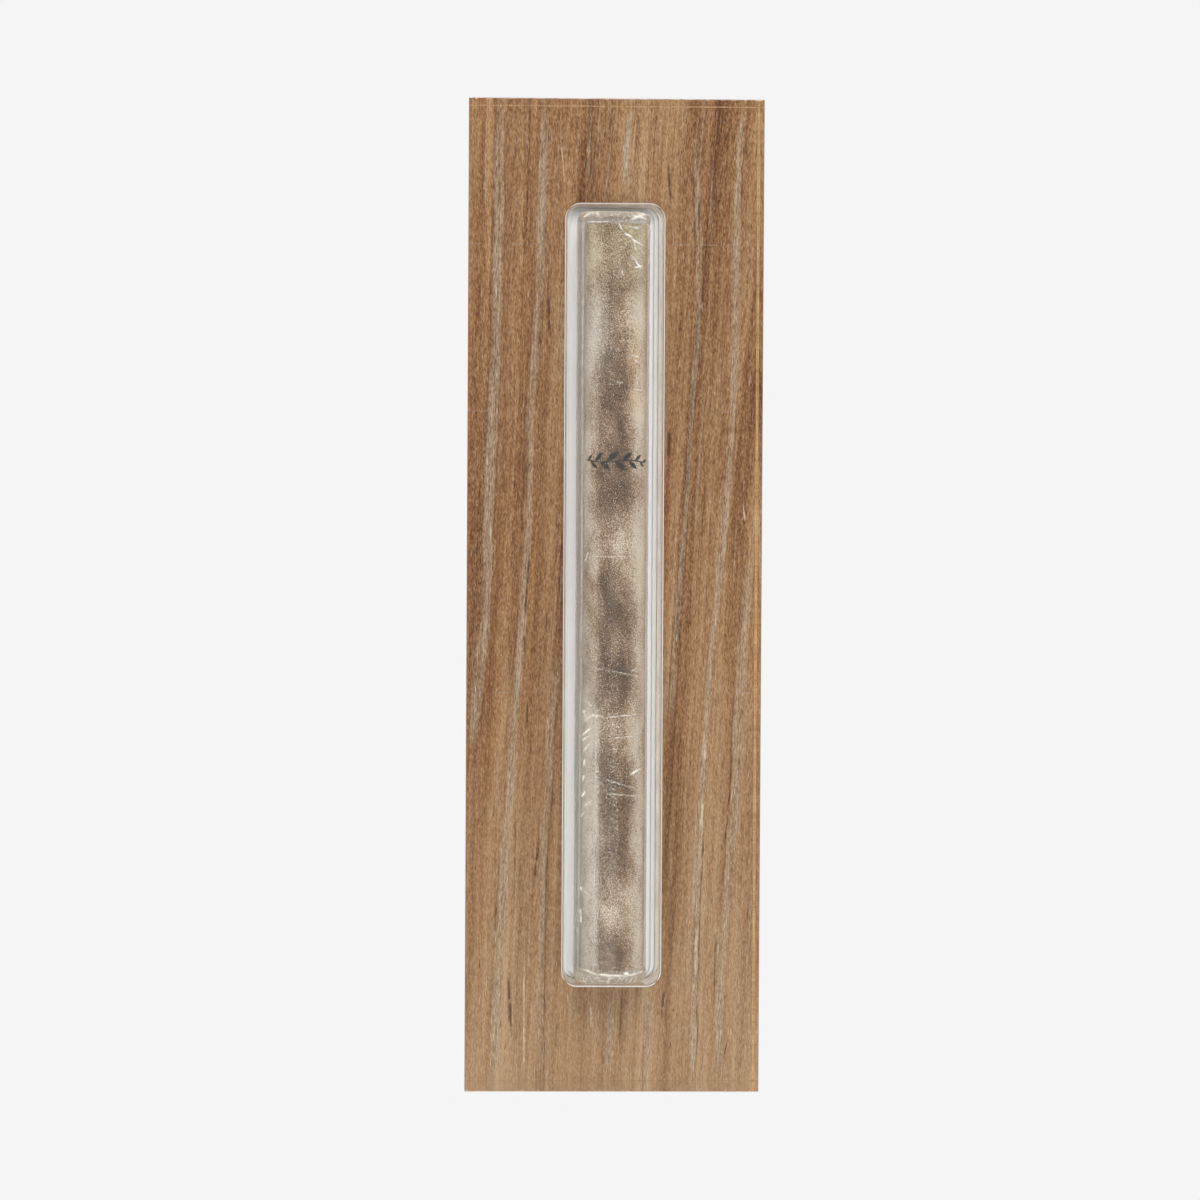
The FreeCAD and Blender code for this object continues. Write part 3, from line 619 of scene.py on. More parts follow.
# calmer and paler towards the lower end, and paler at the right-hand side
low_end = g.fit(z, 5.0, -70.0, 0.0, 1.0, soft=False)
tone = g.add(tone, g.mul(g.mul(g.sub(0.56, tone), low_end), 0.38))
pale = g.add(g.fit(z, 20.0, -75.0, 0.0, 0.13, soft=False), g.fit(x, -20.0, 20.0, -0.03, 0.05, soft=False))
pale = g.add(pale, g.mul(g.fit(z, -5.0, -35.0), g.fit(g.size(g.sub(x, -19.0)), 8.0, 2.0, 0.0, 0.10)))
pale = g.sub(pale, g.mul(g.fit(z, -10.0, -30.0), g.fit(g.size(g.sub(x, 11.0)), 5.0, 1.0, 0.0, 0.16)))
tone = g.add(tone, pale)


def oak(r, g_, b):
    c = rgb(r, g_, b)
    return (c[0] * 0.725, c[1] * 0.64, c[2] * 0.51, 1)


def lime_grey(r, g_, b):
    c = rgb(r, g_, b)
    return (c[0] * 0.82, c[1] * 0.80, c[2] * 0.76, 1)


base = g.ramp(tone, [
    (0.02, oak(84, 50, 26)), (0.22, oak(118, 80, 48)), (0.38, oak(140, 103, 70)), (0.50, oak(154, 119, 86)),
    (0.62, oak(165, 132, 100)), (0.78, oak(179, 148, 117)), (0.95, oak(192, 166, 136)),
])
warm = g.fit(g.noise(g.vec(g.mul(u, 0.22), 31.0, g.mul(z, 0.012)), 1.0, 1.0), 0.42, 0.60, 0.0, 0.75)
warm = g.mul(warm, g.fit(x, 12.0, -14.0, 0.15, 0.75))
base = g.mix(warm, base, g.ramp(tone, [(0.1, oak(96, 56, 26)), (0.5, oak(150, 106, 66)), (0.9, oak(194, 156, 114))]))
cool = g.fit(z, 0.0, -70.0, 0.0, 0.62)
base = g.mix(cool, base, g.ramp(tone, [(0.1, oak(112, 84, 62)), (0.5, oak(160, 131, 104)), (0.9, oak(196, 176, 154))]))

# wide grey-white streaks where lime fills the open grain
zt = g.fit(z, -80.0, 80.0, 0.0, 1.0, soft=False)
streaks = [
    ([(79, -18.1), (62, -18.5), (43, -18.7), (28, -19.2), (9, -19.8), (-4, -20.2), (-17, -21.5), (-30, -22.4)], 0.9, 0.72, (-26, 80)),
    ([(79, -11.2), (54, -11.5), (43, -12.3), (28, -13.1), (9, -13.6), (-17, -15.3), (-43, -16.9), (-59, -17.9), (-78, -18.6)], 0.75, 0.70, (-80, 80)),
    ([(79, -3.9), (65, -4.3)], 0.45, 0.45, (62, 80)),
    ([(79, 2.8), (71, 2.1), (63, 1.6)], 0.75, 0.85, (62, 80)),
    ([(79, 12.6), (65, 13.4), (47, 13.8), (34, 13.1), (15, 11.9), (5, 11.2), (-9, 10.4), (-20, 9.7)], 0.5, 0.55, (-22, 76)),
    ([(79, 20.7), (66, 19.9), (55, 19.8), (28, 19.2), (9, 18.0), (-3, 16.7), (-20, 15.5), (-49, 13.9), (-62, 13.7), (-78, 13.1)], 0.55, 0.75, (-80, 80)),
    ([(5, 22.3), (-4, 21.5), (-16, 20.8), (-30, 20.1), (-49, 18.9), (-59, 18.1), (-78, 17.9)], 0.8, 0.60, (-80, 8)),
    ([(-10, -8.6), (-20, -9.4), (-32, -10.0), (-41, -10.8), (-59, -11.1), (-78, -11.3)], 0.6, 0.60, (-80, -8)),
    ([(-62, 0.5), (-72, 0.0), (-78, -0.2)], 0.55, 0.65, (-80, -62)),
    ([(-62, 6.6), (-72, 6.3), (-78, 6.0)], 0.55, 0.60, (-80, -62)),
]
xs = g.add(g.add(x, g.mad(fibre, 0.5, -0.25)), g.add(g.mad(mid, 0.9, -0.45), g.mad(ribbons, 0.4, -0.2)))
lime = None
rim = None
flick = g.fit(g.noise(g.vec(g.mul(u, 0.3), 71.0, g.mul(z, 0.07)), 1.0, 2.0, 0.6), 0.42, 0.58)
for n_, (pts, width, strength, (z0, z1)) in enumerate(streaks):
    locs = sorted(((p[0] + 80) / 160.0, (p[1] + 25) / 50.0) for p in pts)
    centre = g.mad(g.curve(zt, locs), 50.0, -25.0)
    off = g.sub(xs, centre)
    off = g.add(off, g.mad(g.noise(g.vec(g.mul(u, 0.25), 100.0 + 7.0 * n_, g.mul(z, 0.16)), 1.0, 3.0, 0.6), 1.1 * width, -0.55 * width))
    along = g.mul(g.fit(z, z0, z0 + 7.0), g.fit(z, z1, z1 - 7.0))
    s = g.mul(g.fit(g.size(off), 0.45 * width, 1.20 * width, strength, 0.0), along)
    lime = s if lime is None else g.high(lime, s)
    # a fine dark line follows one side of the streak, coming and going
    side = (1, -1, 1, 1, -1, 1, -1, 1, 1, -1)[n_] * 1.15 * width
    e_ = g.mul(g.mul(g.fit(g.size(g.sub(off, side)), 0.03, 0.20, 0.8, 0.0), along), flick if n_ % 2 == 0 else g.sub(1.0, flick))
    rim = e_ if rim is None else g.high(rim, e_)
patchy = g.mul(g.fit(ribbons, 0.30, 0.58, 0.60, 1.0), g.fit(threads, 0.34, 0.56, 0.45, 1.0))
small = g.mul(g.fit(g.noise(g.vec(g.mul(u, 1.9), 21.0, g.mul(z, 0.022)), 1.0, 2.0, 0.6), 0.57, 0.67), 0.50)
lime_all = g.high(g.mul(lime, patchy), g.mul(small, patchy))
base = g.mix(g.low(g.mul(lime_all, 0.95), 1.0), base, g.ramp(g.mad(hairs, 0.5, g.mad(grit, 0.3, g.mul(fibre, 0.2))), [(0.34, lime_grey(118, 98, 78)), (0.5, lime_grey(166, 150, 130)), (0.66, lime_grey(198, 186, 168))]))

base = g.mix(g.mul(rim, g.fit(hairs, 0.35, 0.55, 1.0, 0.55)), base, oak(84, 50, 28))

# heart-brown bands
browns = [
    ([(79, -16.9), (50, -17.1), (20, -17.7), (0, -18.5), (-20, -19.8)], 0.9, 0.60, (-18, 80)),
    ([(79, -12.2), (50, -12.6), (20, -14.6), (0, -15.4), (-20, -16.6)], 0.8, 0.45, (-18, 76)),
    ([(60, -9.0), (43, -10.2), (20, -10.8), (0, -11.6), (-20, -12.6), (-50, -14.2), (-78, -15.4)], 0.8, 0.45, (-80, 66)),
    ([(79, -21.9), (40, -22.4), (0, -22.9)], 0.8, 0.40, (-6, 76)),
    ([(79, 9.6), (60, 9.4), (30, 8.9), (0, 8.8), (-40, 8.4)], 0.7, 0.42, (-40, 78)),
    ([(79, 18.9), (50, 18.3), (20, 17.2), (-10, 14.9)], 0.7, 0.36, (-14, 78)),
    ([(-40, 22.4), (-60, 21.4), (-78, 20.9)], 0.8, 0.35, (-80, -30)),
    ([(-62, 2.2), (-78, 2.6)], 1.0, 0.45, (-78, -60)),
    ([(-50, -20.6), (-78, -21.4)], 0.9, 0.35, (-80, -48)),
]
brown = None
for pts, width, strength, (z0, z1) in browns:
    locs = sorted(((p[0] + 80) / 160.0, (p[1] + 25) / 50.0) for p in pts)
    centre = g.mad(g.curve(zt, locs), 50.0, -25.0)
    d = g.size(g.sub(xs, centre))
    s = g.mul(g.fit(d, 0.1 * width, 1.3 * width, strength, 0.0), g.mul(g.fit(z, z0, z0 + 9.0), g.fit(z, z1, z1 - 9.0)))
    brown = s if brown is None else g.high(brown, s)
brown = g.mul(g.mul(brown, g.fit(ribbons, 0.36, 0.60, 0.35, 1.15)), g.mad(low_end, -0.45, 1.0))
brown = g.mul(brown, g.sub(1.0, g.low(g.mul(lime, 1.2), 1.0)))
base = g.mix(brown, base, g.ramp(g.mad(hairs, 0.55, g.mul(grit, 0.45)), [(0.30, oak(100, 62, 34)), (0.5, oak(134, 95, 60)), (0.70, oak(162, 125, 89))]))

# brown flame streaks in the wood that run beside the lime streaks
brown_flame = g.fit(g.noise(g.vec(g.mul(u, 1.75), 47.0, g.mul(z, 0.016)), 1.0, 2.0, 0.55), 0.58, 0.70, 0.0, 0.55)
brown_flame = g.mul(brown_flame, g.mul(g.mad(low_end, -0.5, 1.0), g.sub(1.0, g.low(g.mul(lime, 1.3), 1.0))))
base = g.mix(brown_flame, base, g.ramp(g.mad(hairs, 0.6, g.mul(grit, 0.4)), [(0.30, oak(96, 62, 36)), (0.5, oak(130, 90, 56)), (0.70, oak(160, 122, 88))]))

# open pores: short dark dashes along the grain, and some filled white
pore_n = g.noise(g.vec(g.mul(u, 3.8), 61.0, g.mul(z, 0.38)), 1.0, 1.0, 0.5)
pore = g.fit(pore_n, 0.70, 0.76, 0.0, 0.85)
base = g.mix(pore, base, oak(84, 52, 30))
fill_n = g.noise(g.vec(g.mul(u, 3.8), 83.0, g.mul(z, 0.36)), 1.0, 1.0, 0.5)
fill = g.fit(fill_n, 0.675, 0.74, 0.0, 0.7)
base = g.mix(g.mul(fill, g.fit(lime, 0.0, 0.5, 0.45, 1.0)), base, lime_grey(222, 212, 196))

# single cracks, and single lime-filled ticks
cracks = [
    (-10.4, 50.7, -10.1, 40.8, 0.20, 0.9), (-13.2, 7.3, -13.9, -4.3, 0.22, 0.95), (-13.9, -6.2, -13.9, -10.1, 0.16, 0.9),
    (-10.4, 5.4, -10.6, 2.8, 0.17, 0.85), (-10.4, -1.1, -10.5, -13.3, 0.12, 0.75), (9.1, 26.9, 9.1, 21.5, 0.20, 0.85),
    (8.7, 69.7, 9.1, 62.9, 0.26, 0.8), (13.7, 63.9, 13.7, 57.5, 0.18, 0.8), (21.1, 73.0, 21.2, 70.5, 0.14, 0.8),
    (15.8, 12.4, 15.8, 7.9, 0.14, 0.7), (-11.3, -38.1, -12.3, -47.8, 0.22, 0.85), (-13.3, -16.4, -13.5, -22.0, 0.18, 0.85),
    (-15.3, -33.3, -15.4, -52.6, 0.13, 0.7), (-16.3, -60.5, -15.7, -71.9, 0.26, 0.8), (2.1, -63.5, 1.6, -73.0, 0.20, 0.6),
    (-8.3, -68.7, -8.6, -73.2, 0.14, 0.7), (8.9, -63.5, 8.4, -68.4, 0.20, 0.75), (19.2, -71.1, 18.4, -74.8, 0.14, 0.8),
]
ticks = [
    (-8.6, 73.8, -7.9, 65.4, 0.10, 0.75), (21.1, 15.0, 21.4, 11.8, 0.14, 0.9), (15.2, -23.6, 15.1, -26.8, 0.2, 0.85),
    (14.9, -32.5, 14.6, -38.1, 0.22, 0.8), (13.9, -53.4, 13.8, -61.4, 0.24, 0.8), (-13.7, -59.0, -13.6, -78.3, 0.16, 0.75),
    (-3.1, -65.5, -2.7, -70.3, 0.22, 0.7),
]
xw = g.add(x, g.add(g.mad(fibre, 0.55, -0.275), g.mad(hairs, 0.25, -0.125)))


def dashes(items):
    total = None
    for x0, z0, x1, z1, width, strength in items:
        slope = (x1 - x0) / (z1 - z0)
        d = g.size(g.sub(xw, g.mad(z, slope, x0 - slope * z0)))
        width *= 1.0
        zm, half = (z0 + z1) / 2, abs(z1 - z0) / 2
        along = g.fit(g.size(g.sub(z, zm)), half * 0.45, half * 1.05, 1.0, 0.0)
        s = g.mul(g.fit(d, width * 0.45, width * 1.15, min(1.0, strength * 1.15), 0.0), along)
        total = s if total is None else g.high(total, s)
    return total


crack = g.mul(dashes(cracks), g.fit(g.noise(g.vec(g.mul(x, 1.0), 5.0, g.mul(z, 0.8)), 1.0, 2.0), 0.36, 0.50, 0.35, 1.0))
base = g.mix(g.mul(crack, 0.86), base, oak(80, 46, 26))
tick = g.mul(dashes(ticks), g.fit(g.noise(g.vec(g.mul(x, 1.0), 9.0, g.mul(z, 1.1)), 1.0, 2.0), 0.40, 0.55, 0.3, 1.0))
base = g.mix(g.mul(tick, 0.72), base, lime_grey(220, 207, 188))

height = g.sub(g.sub(g.mad(fibre, 0.5, g.mul(hairs, 0.5)), g.mul(pore, 0.8)), g.mul(crack, 1.2))
wood = g.done(g.principled(
    Base_Color=base,
    Roughness=g.fit(tone, 0.2, 0.9, 0.72, 0.5),
    Specular_IOR_Level=0.12,
    Normal=g.bump(height, 0.35, 0.00006),
))


def paint(node, material):
    me = nodes[node].data
    if not me.materials:
        me.materials.append(material)
    for i in range(len(me.materials)):
        me.materials[i] = material


paint("wood_veneer", wood)

# ---------------------------------------------------------------------------
# Rear film, back, plate
# ---------------------------------------------------------------------------
g = Graph("rear_adhesive_film")
x, y, z = g.place()
n1 = g.noise(g.vec(g.mul(x, 0.8), 0.0, g.mul(z, 0.3)), 1.0, 3.0, 0.6)
n2 = g.noise(g.vec(g.mul(x, 5.0), 0.0, g.mul(z, 4.0)), 1.0, 2.0, 0.6)
paint("rear_bond_film", g.done(g.principled(
    Base_Color=g.ramp(g.mad(n1, 0.6, g.mul(n2, 0.4)), [(0.3, rgb(186, 166, 132)), (0.7, rgb(222, 206, 176))]),
    Roughness=g.fit(n2, 0.3, 0.7, 0.25, 0.5), Normal=g.bump(n2, 0.3, 0.00003))))


def sheet_plastic(name, low, high, rough, sawn, outside_shade=0.0):
    """Cast white sheet: faintly mottled, with a fine orange peel, small scuffs and marks of the cutter on its edges."""
    g = Graph(name)
    x, y, z = g.place()
    cloud = g.noise(g.vec(g.mul(x, 0.06), g.mul(y, 0.06), g.mul(z, 0.04)), 1.0, 3.0, 0.55)
    peel = g.noise(g.vec(x, y, z), 1.6, 3.0, 0.55)
    scuff_n = g.noise(g.vec(g.mul(x, 0.9), g.mul(y, 0.9), g.mul(z, 0.12)), 1.0, 5.0, 0.7, 1.2)
    scuff = g.fit(scuff_n, 0.60, 0.72)
    cut = g.noise(g.vec(0.0, g.mul(y, 1.4), g.mul(g.add(z, g.mul(x, 0.2)), 5.5)), 1.0, 2.0, 0.6)
    geo = g.node("NewGeometry")
    sep = g.node("SeparateXYZ")
    g.put(sep.inputs[0], geo.outputs["True Normal"])
    edge = g.fit(g.size(sep.outputs[1]), 0.85, 0.4)
    col = g.ramp(g.mad(cloud, 0.7, g.mul(peel, 0.3)), [(0.32, low), (0.68, high)])
    col = g.mix(g.mul(scuff, 0.22), col, rgb(206, 205, 202))
    col = g.mix(g.mul(edge, g.fit(cut, 0.4, 0.65, 0.0, 0.16)), col, rgb(200, 199, 196))
    if outside_shade:
        # painted shade: outside the window zone the front of the sheet is painted a duller grey, in streaks, to tone
        # down the light it gets there; the part behind the window keeps its own colour
        outside_window_shade = g.high(g.fit(g.mad(cloud, 1.6, g.size(x)), 9.2, 13.0), g.fit(g.mad(cloud, 3.0, g.size(z)), 63.0, 69.0))
        outside_window_shade = g.mul(outside_window_shade, g.fit(sep.outputs[1], -0.3, -0.8))
        drag = g.noise(g.vec(g.mul(x, 2.4), 3.0, g.mul(z, 0.05)), 1.0, 3.0, 0.6)
        col = g.mix(g.mul(outside_window_shade, g.fit(drag, 0.35, 0.65, outside_shade - 0.1, outside_shade + 0.1)), col, rgb(186, 185, 183))
    h = g.add(g.mul(peel, 0.35), g.mul(g.mul(edge, cut), sawn))
    return g.done(g.principled(
        Base_Color=col,
        Roughness=g.add(g.fit(peel, 0.3, 0.7, rough - 0.06, rough + 0.06), g.mul(scuff, 0.12)),
        Subsurface_Weight=0.0,
        Specular_IOR_Level=0.45,
        Normal=g.bump(h, 0.25, 0.00004)))


paint("back_frame", sheet_plastic("white_cast_acrylic", rgb(212, 212, 210), rgb(223, 223, 221), 0.34, 0.7))
paint("mounting_plate", sheet_plastic("white_plate_acrylic", rgb(230, 229, 230), rgb(240, 239, 240), 0.42, 0.5, 0.72))

# ---------------------------------------------------------------------------
# Foam pads and their liners, as soft-cornered layers
# ---------------------------------------------------------------------------
g = Graph("closed_cell_foam")
x, y, z = g.place()
cell = g.cells(g.vec(x, y, z), 4.2)
cell2 = g.cells(g.vec(x, y, z), 9.5)
cloud = g.noise(g.vec(x, y, z), 0.25, 2.0)
foam = g.done(g.principled(
    Base_Color=g.ramp(g.mad(cell, 0.5, g.mad(cell2, 0.25, g.mul(cloud, 0.35))), [(0.2, rgb(176, 176, 170)), (0.45, rgb(212, 212, 206)), (0.75, rgb(232, 232, 227))]),
    Roughness=0.85, Normal=g.bump(g.add(cell, g.mul(cell2, 0.5)), 0.6, 0.00012)))

g = Graph("glazed_release_paper")
x, y, z = g.place()
fib = g.noise(g.vec(g.mul(x, 2.4), y, g.mul(z, 2.4)), 1.0, 4.0, 0.65)
wave = g.noise(g.vec(g.mul(x, 0.15), y, g.mul(z, 0.12)), 1.0, 2.0)
weft = g.mul(g.mul(g.math("SINE", g.mul(g.add(x, z), 2.3)), 0.5), g.math("SINE", g.mul(g.sub(x, z), 2.3)))
liner = g.done(g.principled(
    Base_Color=g.ramp(g.add(g.mad(fib, 0.5, g.mul(wave, 0.4)), g.mul(weft, 0.08)), [(0.3, rgb(190, 205, 218)), (0.5, rgb(206, 219, 230)), (0.7, rgb(222, 232, 240))]),
    Roughness=g.fit(fib, 0.3, 0.7, 0.22, 0.38), Normal=g.bump(g.add(fib, g.mul(weft, 0.4)), 0.3, 0.00003)))


def pad_piece(name, node, z_mid, half_w, half_h, radius, y0, y1, material, bulge, replaced, curl=0.0):
    """A die-cut layer with crowned sides."""
    pads = Loft()
    rows = []
    levels = 6
    for k in range(levels + 1):
        t = k / levels
        out = bulge * math.sin(math.pi * t)
        yy = y0 + (y1 - y0) * t
        pts = rounded_ring(half_w - bulge + out, half_h - bulge + out, radius, yy, 8)
        pts = [(p + Vector((0, 0, z_mid * MM)), d) for p, d in pts]
        rows.append(pads.ring(pts, 0, 1))
    for a, b in zip(rows, rows[1:]):
        pads.join(a, b, flip=True)
    pads.cap(rows[0], (0, -1, 0))
    pads.cap(rows[-1], (0, 1, 0), flip=True)
    add_mesh(name, pads.mesh(name), material, "wall_plate", replaced)


fl, fh_ = (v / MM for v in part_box("foam_pads"))
ll, lh = (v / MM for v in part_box("release_liners"))
pad_hw = fh_.x
for tag, sign in (("upper", 1), ("lower", -1)):
    pad_piece("foam_pad_" + tag, "foam_pads", sign * 24.5, pad_hw, 16.5, 1.2, fl.y, fh_.y, foam, 0.12, ("foam_pads",))
    pad_piece("release_liner_" + tag, "release_liners", sign * 24.5, pad_hw, 16.5, 1.2, ll.y, lh.y, liner, 0.01, ("release_liners",))

# ---------------------------------------------------------------------------
# Rolled parchment
# ---------------------------------------------------------------------------
CX, CY = 0.4, -9.45
R0, PITCH, SHEET, TURNS = 5.30, 0.36, 0.30, 4.0
Z0, Z1 = -60.5, 59.5


def dent(angle, zz):
    """Slow unevenness of the roll, always inwards, in millimetres."""
    c, s = math.cos(angle), math.sin(angle)
    v = noise.noise(Vector((c * 0.8, s * 0.8, zz * 0.045)))
    w = noise.noise(Vector((c * 2.2 + 7, s * 2.2, zz * 0.16)))
    return -0.10 * (0.5 + 0.9 * v) - 0.03 * (0.5 + w)


bm = bmesh.new()
PER = 64
NT = int(PER * TURNS)
NZ = 110
grid_out, grid_in = [], []
for k in range(NZ + 1):
    f = k / NZ
    zc = Z0 + (Z1 - Z0) * f
    ro, ri = [], []
    for i in range(NT + 1):
        t = TURNS * i / NT
        edge_wave = 2.2 * noise.noise(Vector((zc * 0.05, 3.7, 0))) + 0.6 * noise.noise(Vector((zc * 0.35, 8.7, 0)))
        ang = math.radians(243.0 + edge_wave * (1 - smooth(0.0, 0.25, t)) + 360.0 * t)
        r = R0 - PITCH * t + dent(ang, zc)
        jag = 0.30 * (noise.noise(Vector((t * 2.1, 1.0, 0.0))) - 0.6) if 0 < f < 1 or True else 0
        end = (1 - smooth(0.0, 0.03, f)) * (0.20 + 0.16 * noise.noise(Vector((t * 3.0, 2.0, 0)))) \
            - smooth(0.97, 1.0, f) * (0.20 + 0.16 * noise.noise(Vector((t * 3.0, 9.0, 0))))
        zz = zc + end
        for lst, rr in ((ro, r), (ri, r - SHEET)):
            lst.append(bm.verts.new(((CX + rr * math.cos(ang)) * MM, (CY + rr * math.sin(ang)) * MM, zz * MM)))
    grid_out.append(ro)
    grid_in.append(ri)
for k in range(NZ):
    for i in range(NT):
        bm.faces.new((grid_out[k][i], grid_out[k][i + 1], grid_out[k + 1][i + 1], grid_out[k + 1][i]))
        bm.faces.new((grid_in[k][i + 1], grid_in[k][i], grid_in[k + 1][i], grid_in[k + 1][i + 1]))
    bm.faces.new((grid_in[k][0], grid_out[k][0], grid_out[k + 1][0], grid_in[k + 1][0]))
    bm.faces.new((grid_out[k][NT], grid_in[k][NT], grid_in[k + 1][NT], grid_out[k + 1][NT]))
for i in range(NT):
    bm.faces.new((grid_out[0][i + 1], grid_out[0][i], grid_in[0][i], grid_in[0][i + 1]))
    bm.faces.new((grid_out[NZ][i], grid_out[NZ][i + 1], grid_in[NZ][i + 1], grid_in[NZ][i]))
bmesh.ops.recalc_face_normals(bm, faces=bm.faces)

g = Graph("scraped_parchment")
x, y, z = g.place()
dx, dy = g.sub(x, CX), g.sub(y, CY)
ang = g.math("ARCTAN2", dx, g.mul(dy, -1.0))        # 0 at the front, positive to the right
arc = g.mul(ang, 5.3)
rad = g.math("SQRT", g.add(g.mul(dx, dx), g.mul(dy, dy)))
skin = g.vec(dx, dy, z)
cloud = g.noise(g.vec(g.mul(dx, 0.16), g.mul(dy, 0.16), g.mul(z, 0.085)), 1.0, 2.0, 0.5)
blot = g.noise(g.vec(g.mul(dx, 0.42), g.mul(dy, 0.42), g.mul(z, 0.22)), 1.0, 3.0, 0.6)
speck = g.noise(skin, 5.2, 1.0, 0.7)
follicle = g.cells(skin, 3.4)
dots = g.fit(follicle, 0.10, 0.32, 1.0, 0.0)
tone = g.mad(g.sub(cloud, 0.5), 1.0, 0.49)
tone = g.mad(g.sub(blot, 0.5), 0.85, tone)
tone = g.high(tone, g.mad(blot, 0.2, 0.22))
sand = g.noise(skin, 7.5, 0.0, 0.5)
tone = g.mad(g.sub(speck, 0.5), 1.25, tone)
tone = g.mad(g.sub(sand, 0.5), 1.5, tone)
tone = g.sub(tone, g.mul(dots, 0.07))
# painted light and shade: the flanks of the roll are painted paler, the right more than the left, and the middle of the
# front darker, as side lighting shows them
tone = g.add(tone, g.add(g.fit(arc, 1.2, 4.8, 0.0, 0.36), g.fit(arc, -1.8, -4.6, 0.0, 0.22)))
tone = g.sub(tone, g.fit(g.size(g.add(arc, 0.1)), 0.4, 2.8, 0.05, 0.0))


# darker and lighter zones along the sheet, as skin has
def zone(centre, half, amount, side=0.0, spread=7.0):
    along = g.fit(g.size(g.sub(g.add(z, g.mad(blot, 5.0, -2.5)), centre)), half * 0.2, half * 1.3, 1.0, 0.0)
    across = g.fit(g.size(g.sub(g.add(arc, g.mad(cloud, 3.0, -1.5)), side)), spread * 0.1, spread, 1.0, 0.0)
    return g.mul(g.mul(along, across), amount)


for spot in (
    (36.0, 7.0, -0.15, -0.4, 5.8), (22.0, 7.0, -0.10, -0.4, 6.0), (26.0, 3.0, -0.06, 2.0, 3.5), (46.5, 3.5, 0.10, 0.0, 8.0),
    (18.0, 5.0, -0.12, -0.4, 5.6), (-0.5, 5.5, -0.17, -0.2, 6.2), (-15.5, 6.5, -0.17, 0.0, 6.0), (-6.0, 6.0, -0.08, 0.6, 4.6),
    (-29.0, 6.0, -0.15, 0.4, 5.0), (-38.0, 8.0, -0.09, 1.0, 4.4), (-56.0, 6.0, -0.12, 1.0, 3.8),
    (45.0, 4.5, 0.20, 3.6, 3.6), (39.0, 4.0, 0.10, -3.4, 4.0), (9.0, 4.5, 0.22, 0.0, 9.0), (-22.0, 4.0, 0.16, 0.0, 8.0),
    (28.0, 2.5, 0.16, 4.0, 3.0), (54.0, 4.0, 0.10, -2.0, 5.0), (-9.0, 3.0, 0.12, 3.0, 3.6), (-44.0, 3.0, 0.10, -2.0, 4.0),
    (-49.0, 5.5, 0.13, 0.0, 9.0), (31.0, 5.0, 0.10, 4.2, 3.0), (42.0, 5.0, 0.10, -3.6, 4.0),
):
    tone = g.add(tone, zone(*spot))
# the strip beside the free edge, which the outermost turn leaves open, is painted paler, and a painted highlight line
# runs along the free edge
strip = g.mul(g.fit(arc, -2.35, -2.75), g.fit(z, -15.0, -21.0))
tone = g.add(tone, g.mul(strip, 0.17))
# painted highlight along the free edge, where it faces the light
tone = g.add(tone, g.mul(g.fit(g.size(g.add(arc, 2.62)), 0.02, 0.14, 0.22, 0.0), g.fit(z, -17.0, -22.0)))
col = g.ramp(tone, [
    (0.00, rgb(58, 36, 19)), (0.18, rgb(88, 60, 35)), (0.36, rgb(118, 88, 58)), (0.52, rgb(145, 117, 86)),
    (0.68, rgb(169, 146, 121)), (0.84, rgb(194, 177, 159)), (1.00, rgb(216, 205, 193)),
])
# yellower near the top end and in patches
yellow = g.add(g.fit(z, 36.0, 60.0, 0.0, 0.55), g.mul(g.fit(cloud, 0.52, 0.66, 0.0, 0.4), g.fit(arc, 0.0, 4.0)))
col = g.mix(g.low(yellow, 0.7), col, g.ramp(tone, [(0.1, rgb(84, 64, 36)), (0.5, rgb(140, 119, 82)), (0.95, rgb(206, 192, 156))]))
grey = g.mul(g.fit(z, 0.0, -30.0, 0.0, 0.55), g.fit(arc, -0.8, -3.0, 0.05, 1.0))
col = g.mix(grey, col, g.ramp(tone, [(0.1, rgb(86, 74, 64)), (0.5, rgb(146, 134, 124)), (0.95, rgb(212, 206, 198))]))

orange = g.mul(g.mul(g.fit(g.size(g.sub(z, 36.0)), 2.0, 10.0, 1.0, 0.0), g.fit(g.size(g.sub(arc, 3.6)), 0.5, 2.6, 1.0, 0.0)), g.fit(blot, 0.40, 0.58, 0.1, 0.65))
col = g.mix(orange, col, g.ramp(tone, [(0.1, rgb(120, 84, 52)), (0.5, rgb(176, 138, 98)), (0.95, rgb(222, 196, 162))]))
lilac = g.mul(g.mul(g.fit(g.size(g.sub(z, 41.0)), 2.0, 11.0, 1.0, 0.0), g.fit(arc, 0.5, -2.5)), 0.6)
col = g.mix(lilac, col, g.ramp(tone, [(0.1, rgb(92, 82, 74)), (0.5, rgb(150, 139, 130)), (0.95, rgb(212, 206, 200))]))

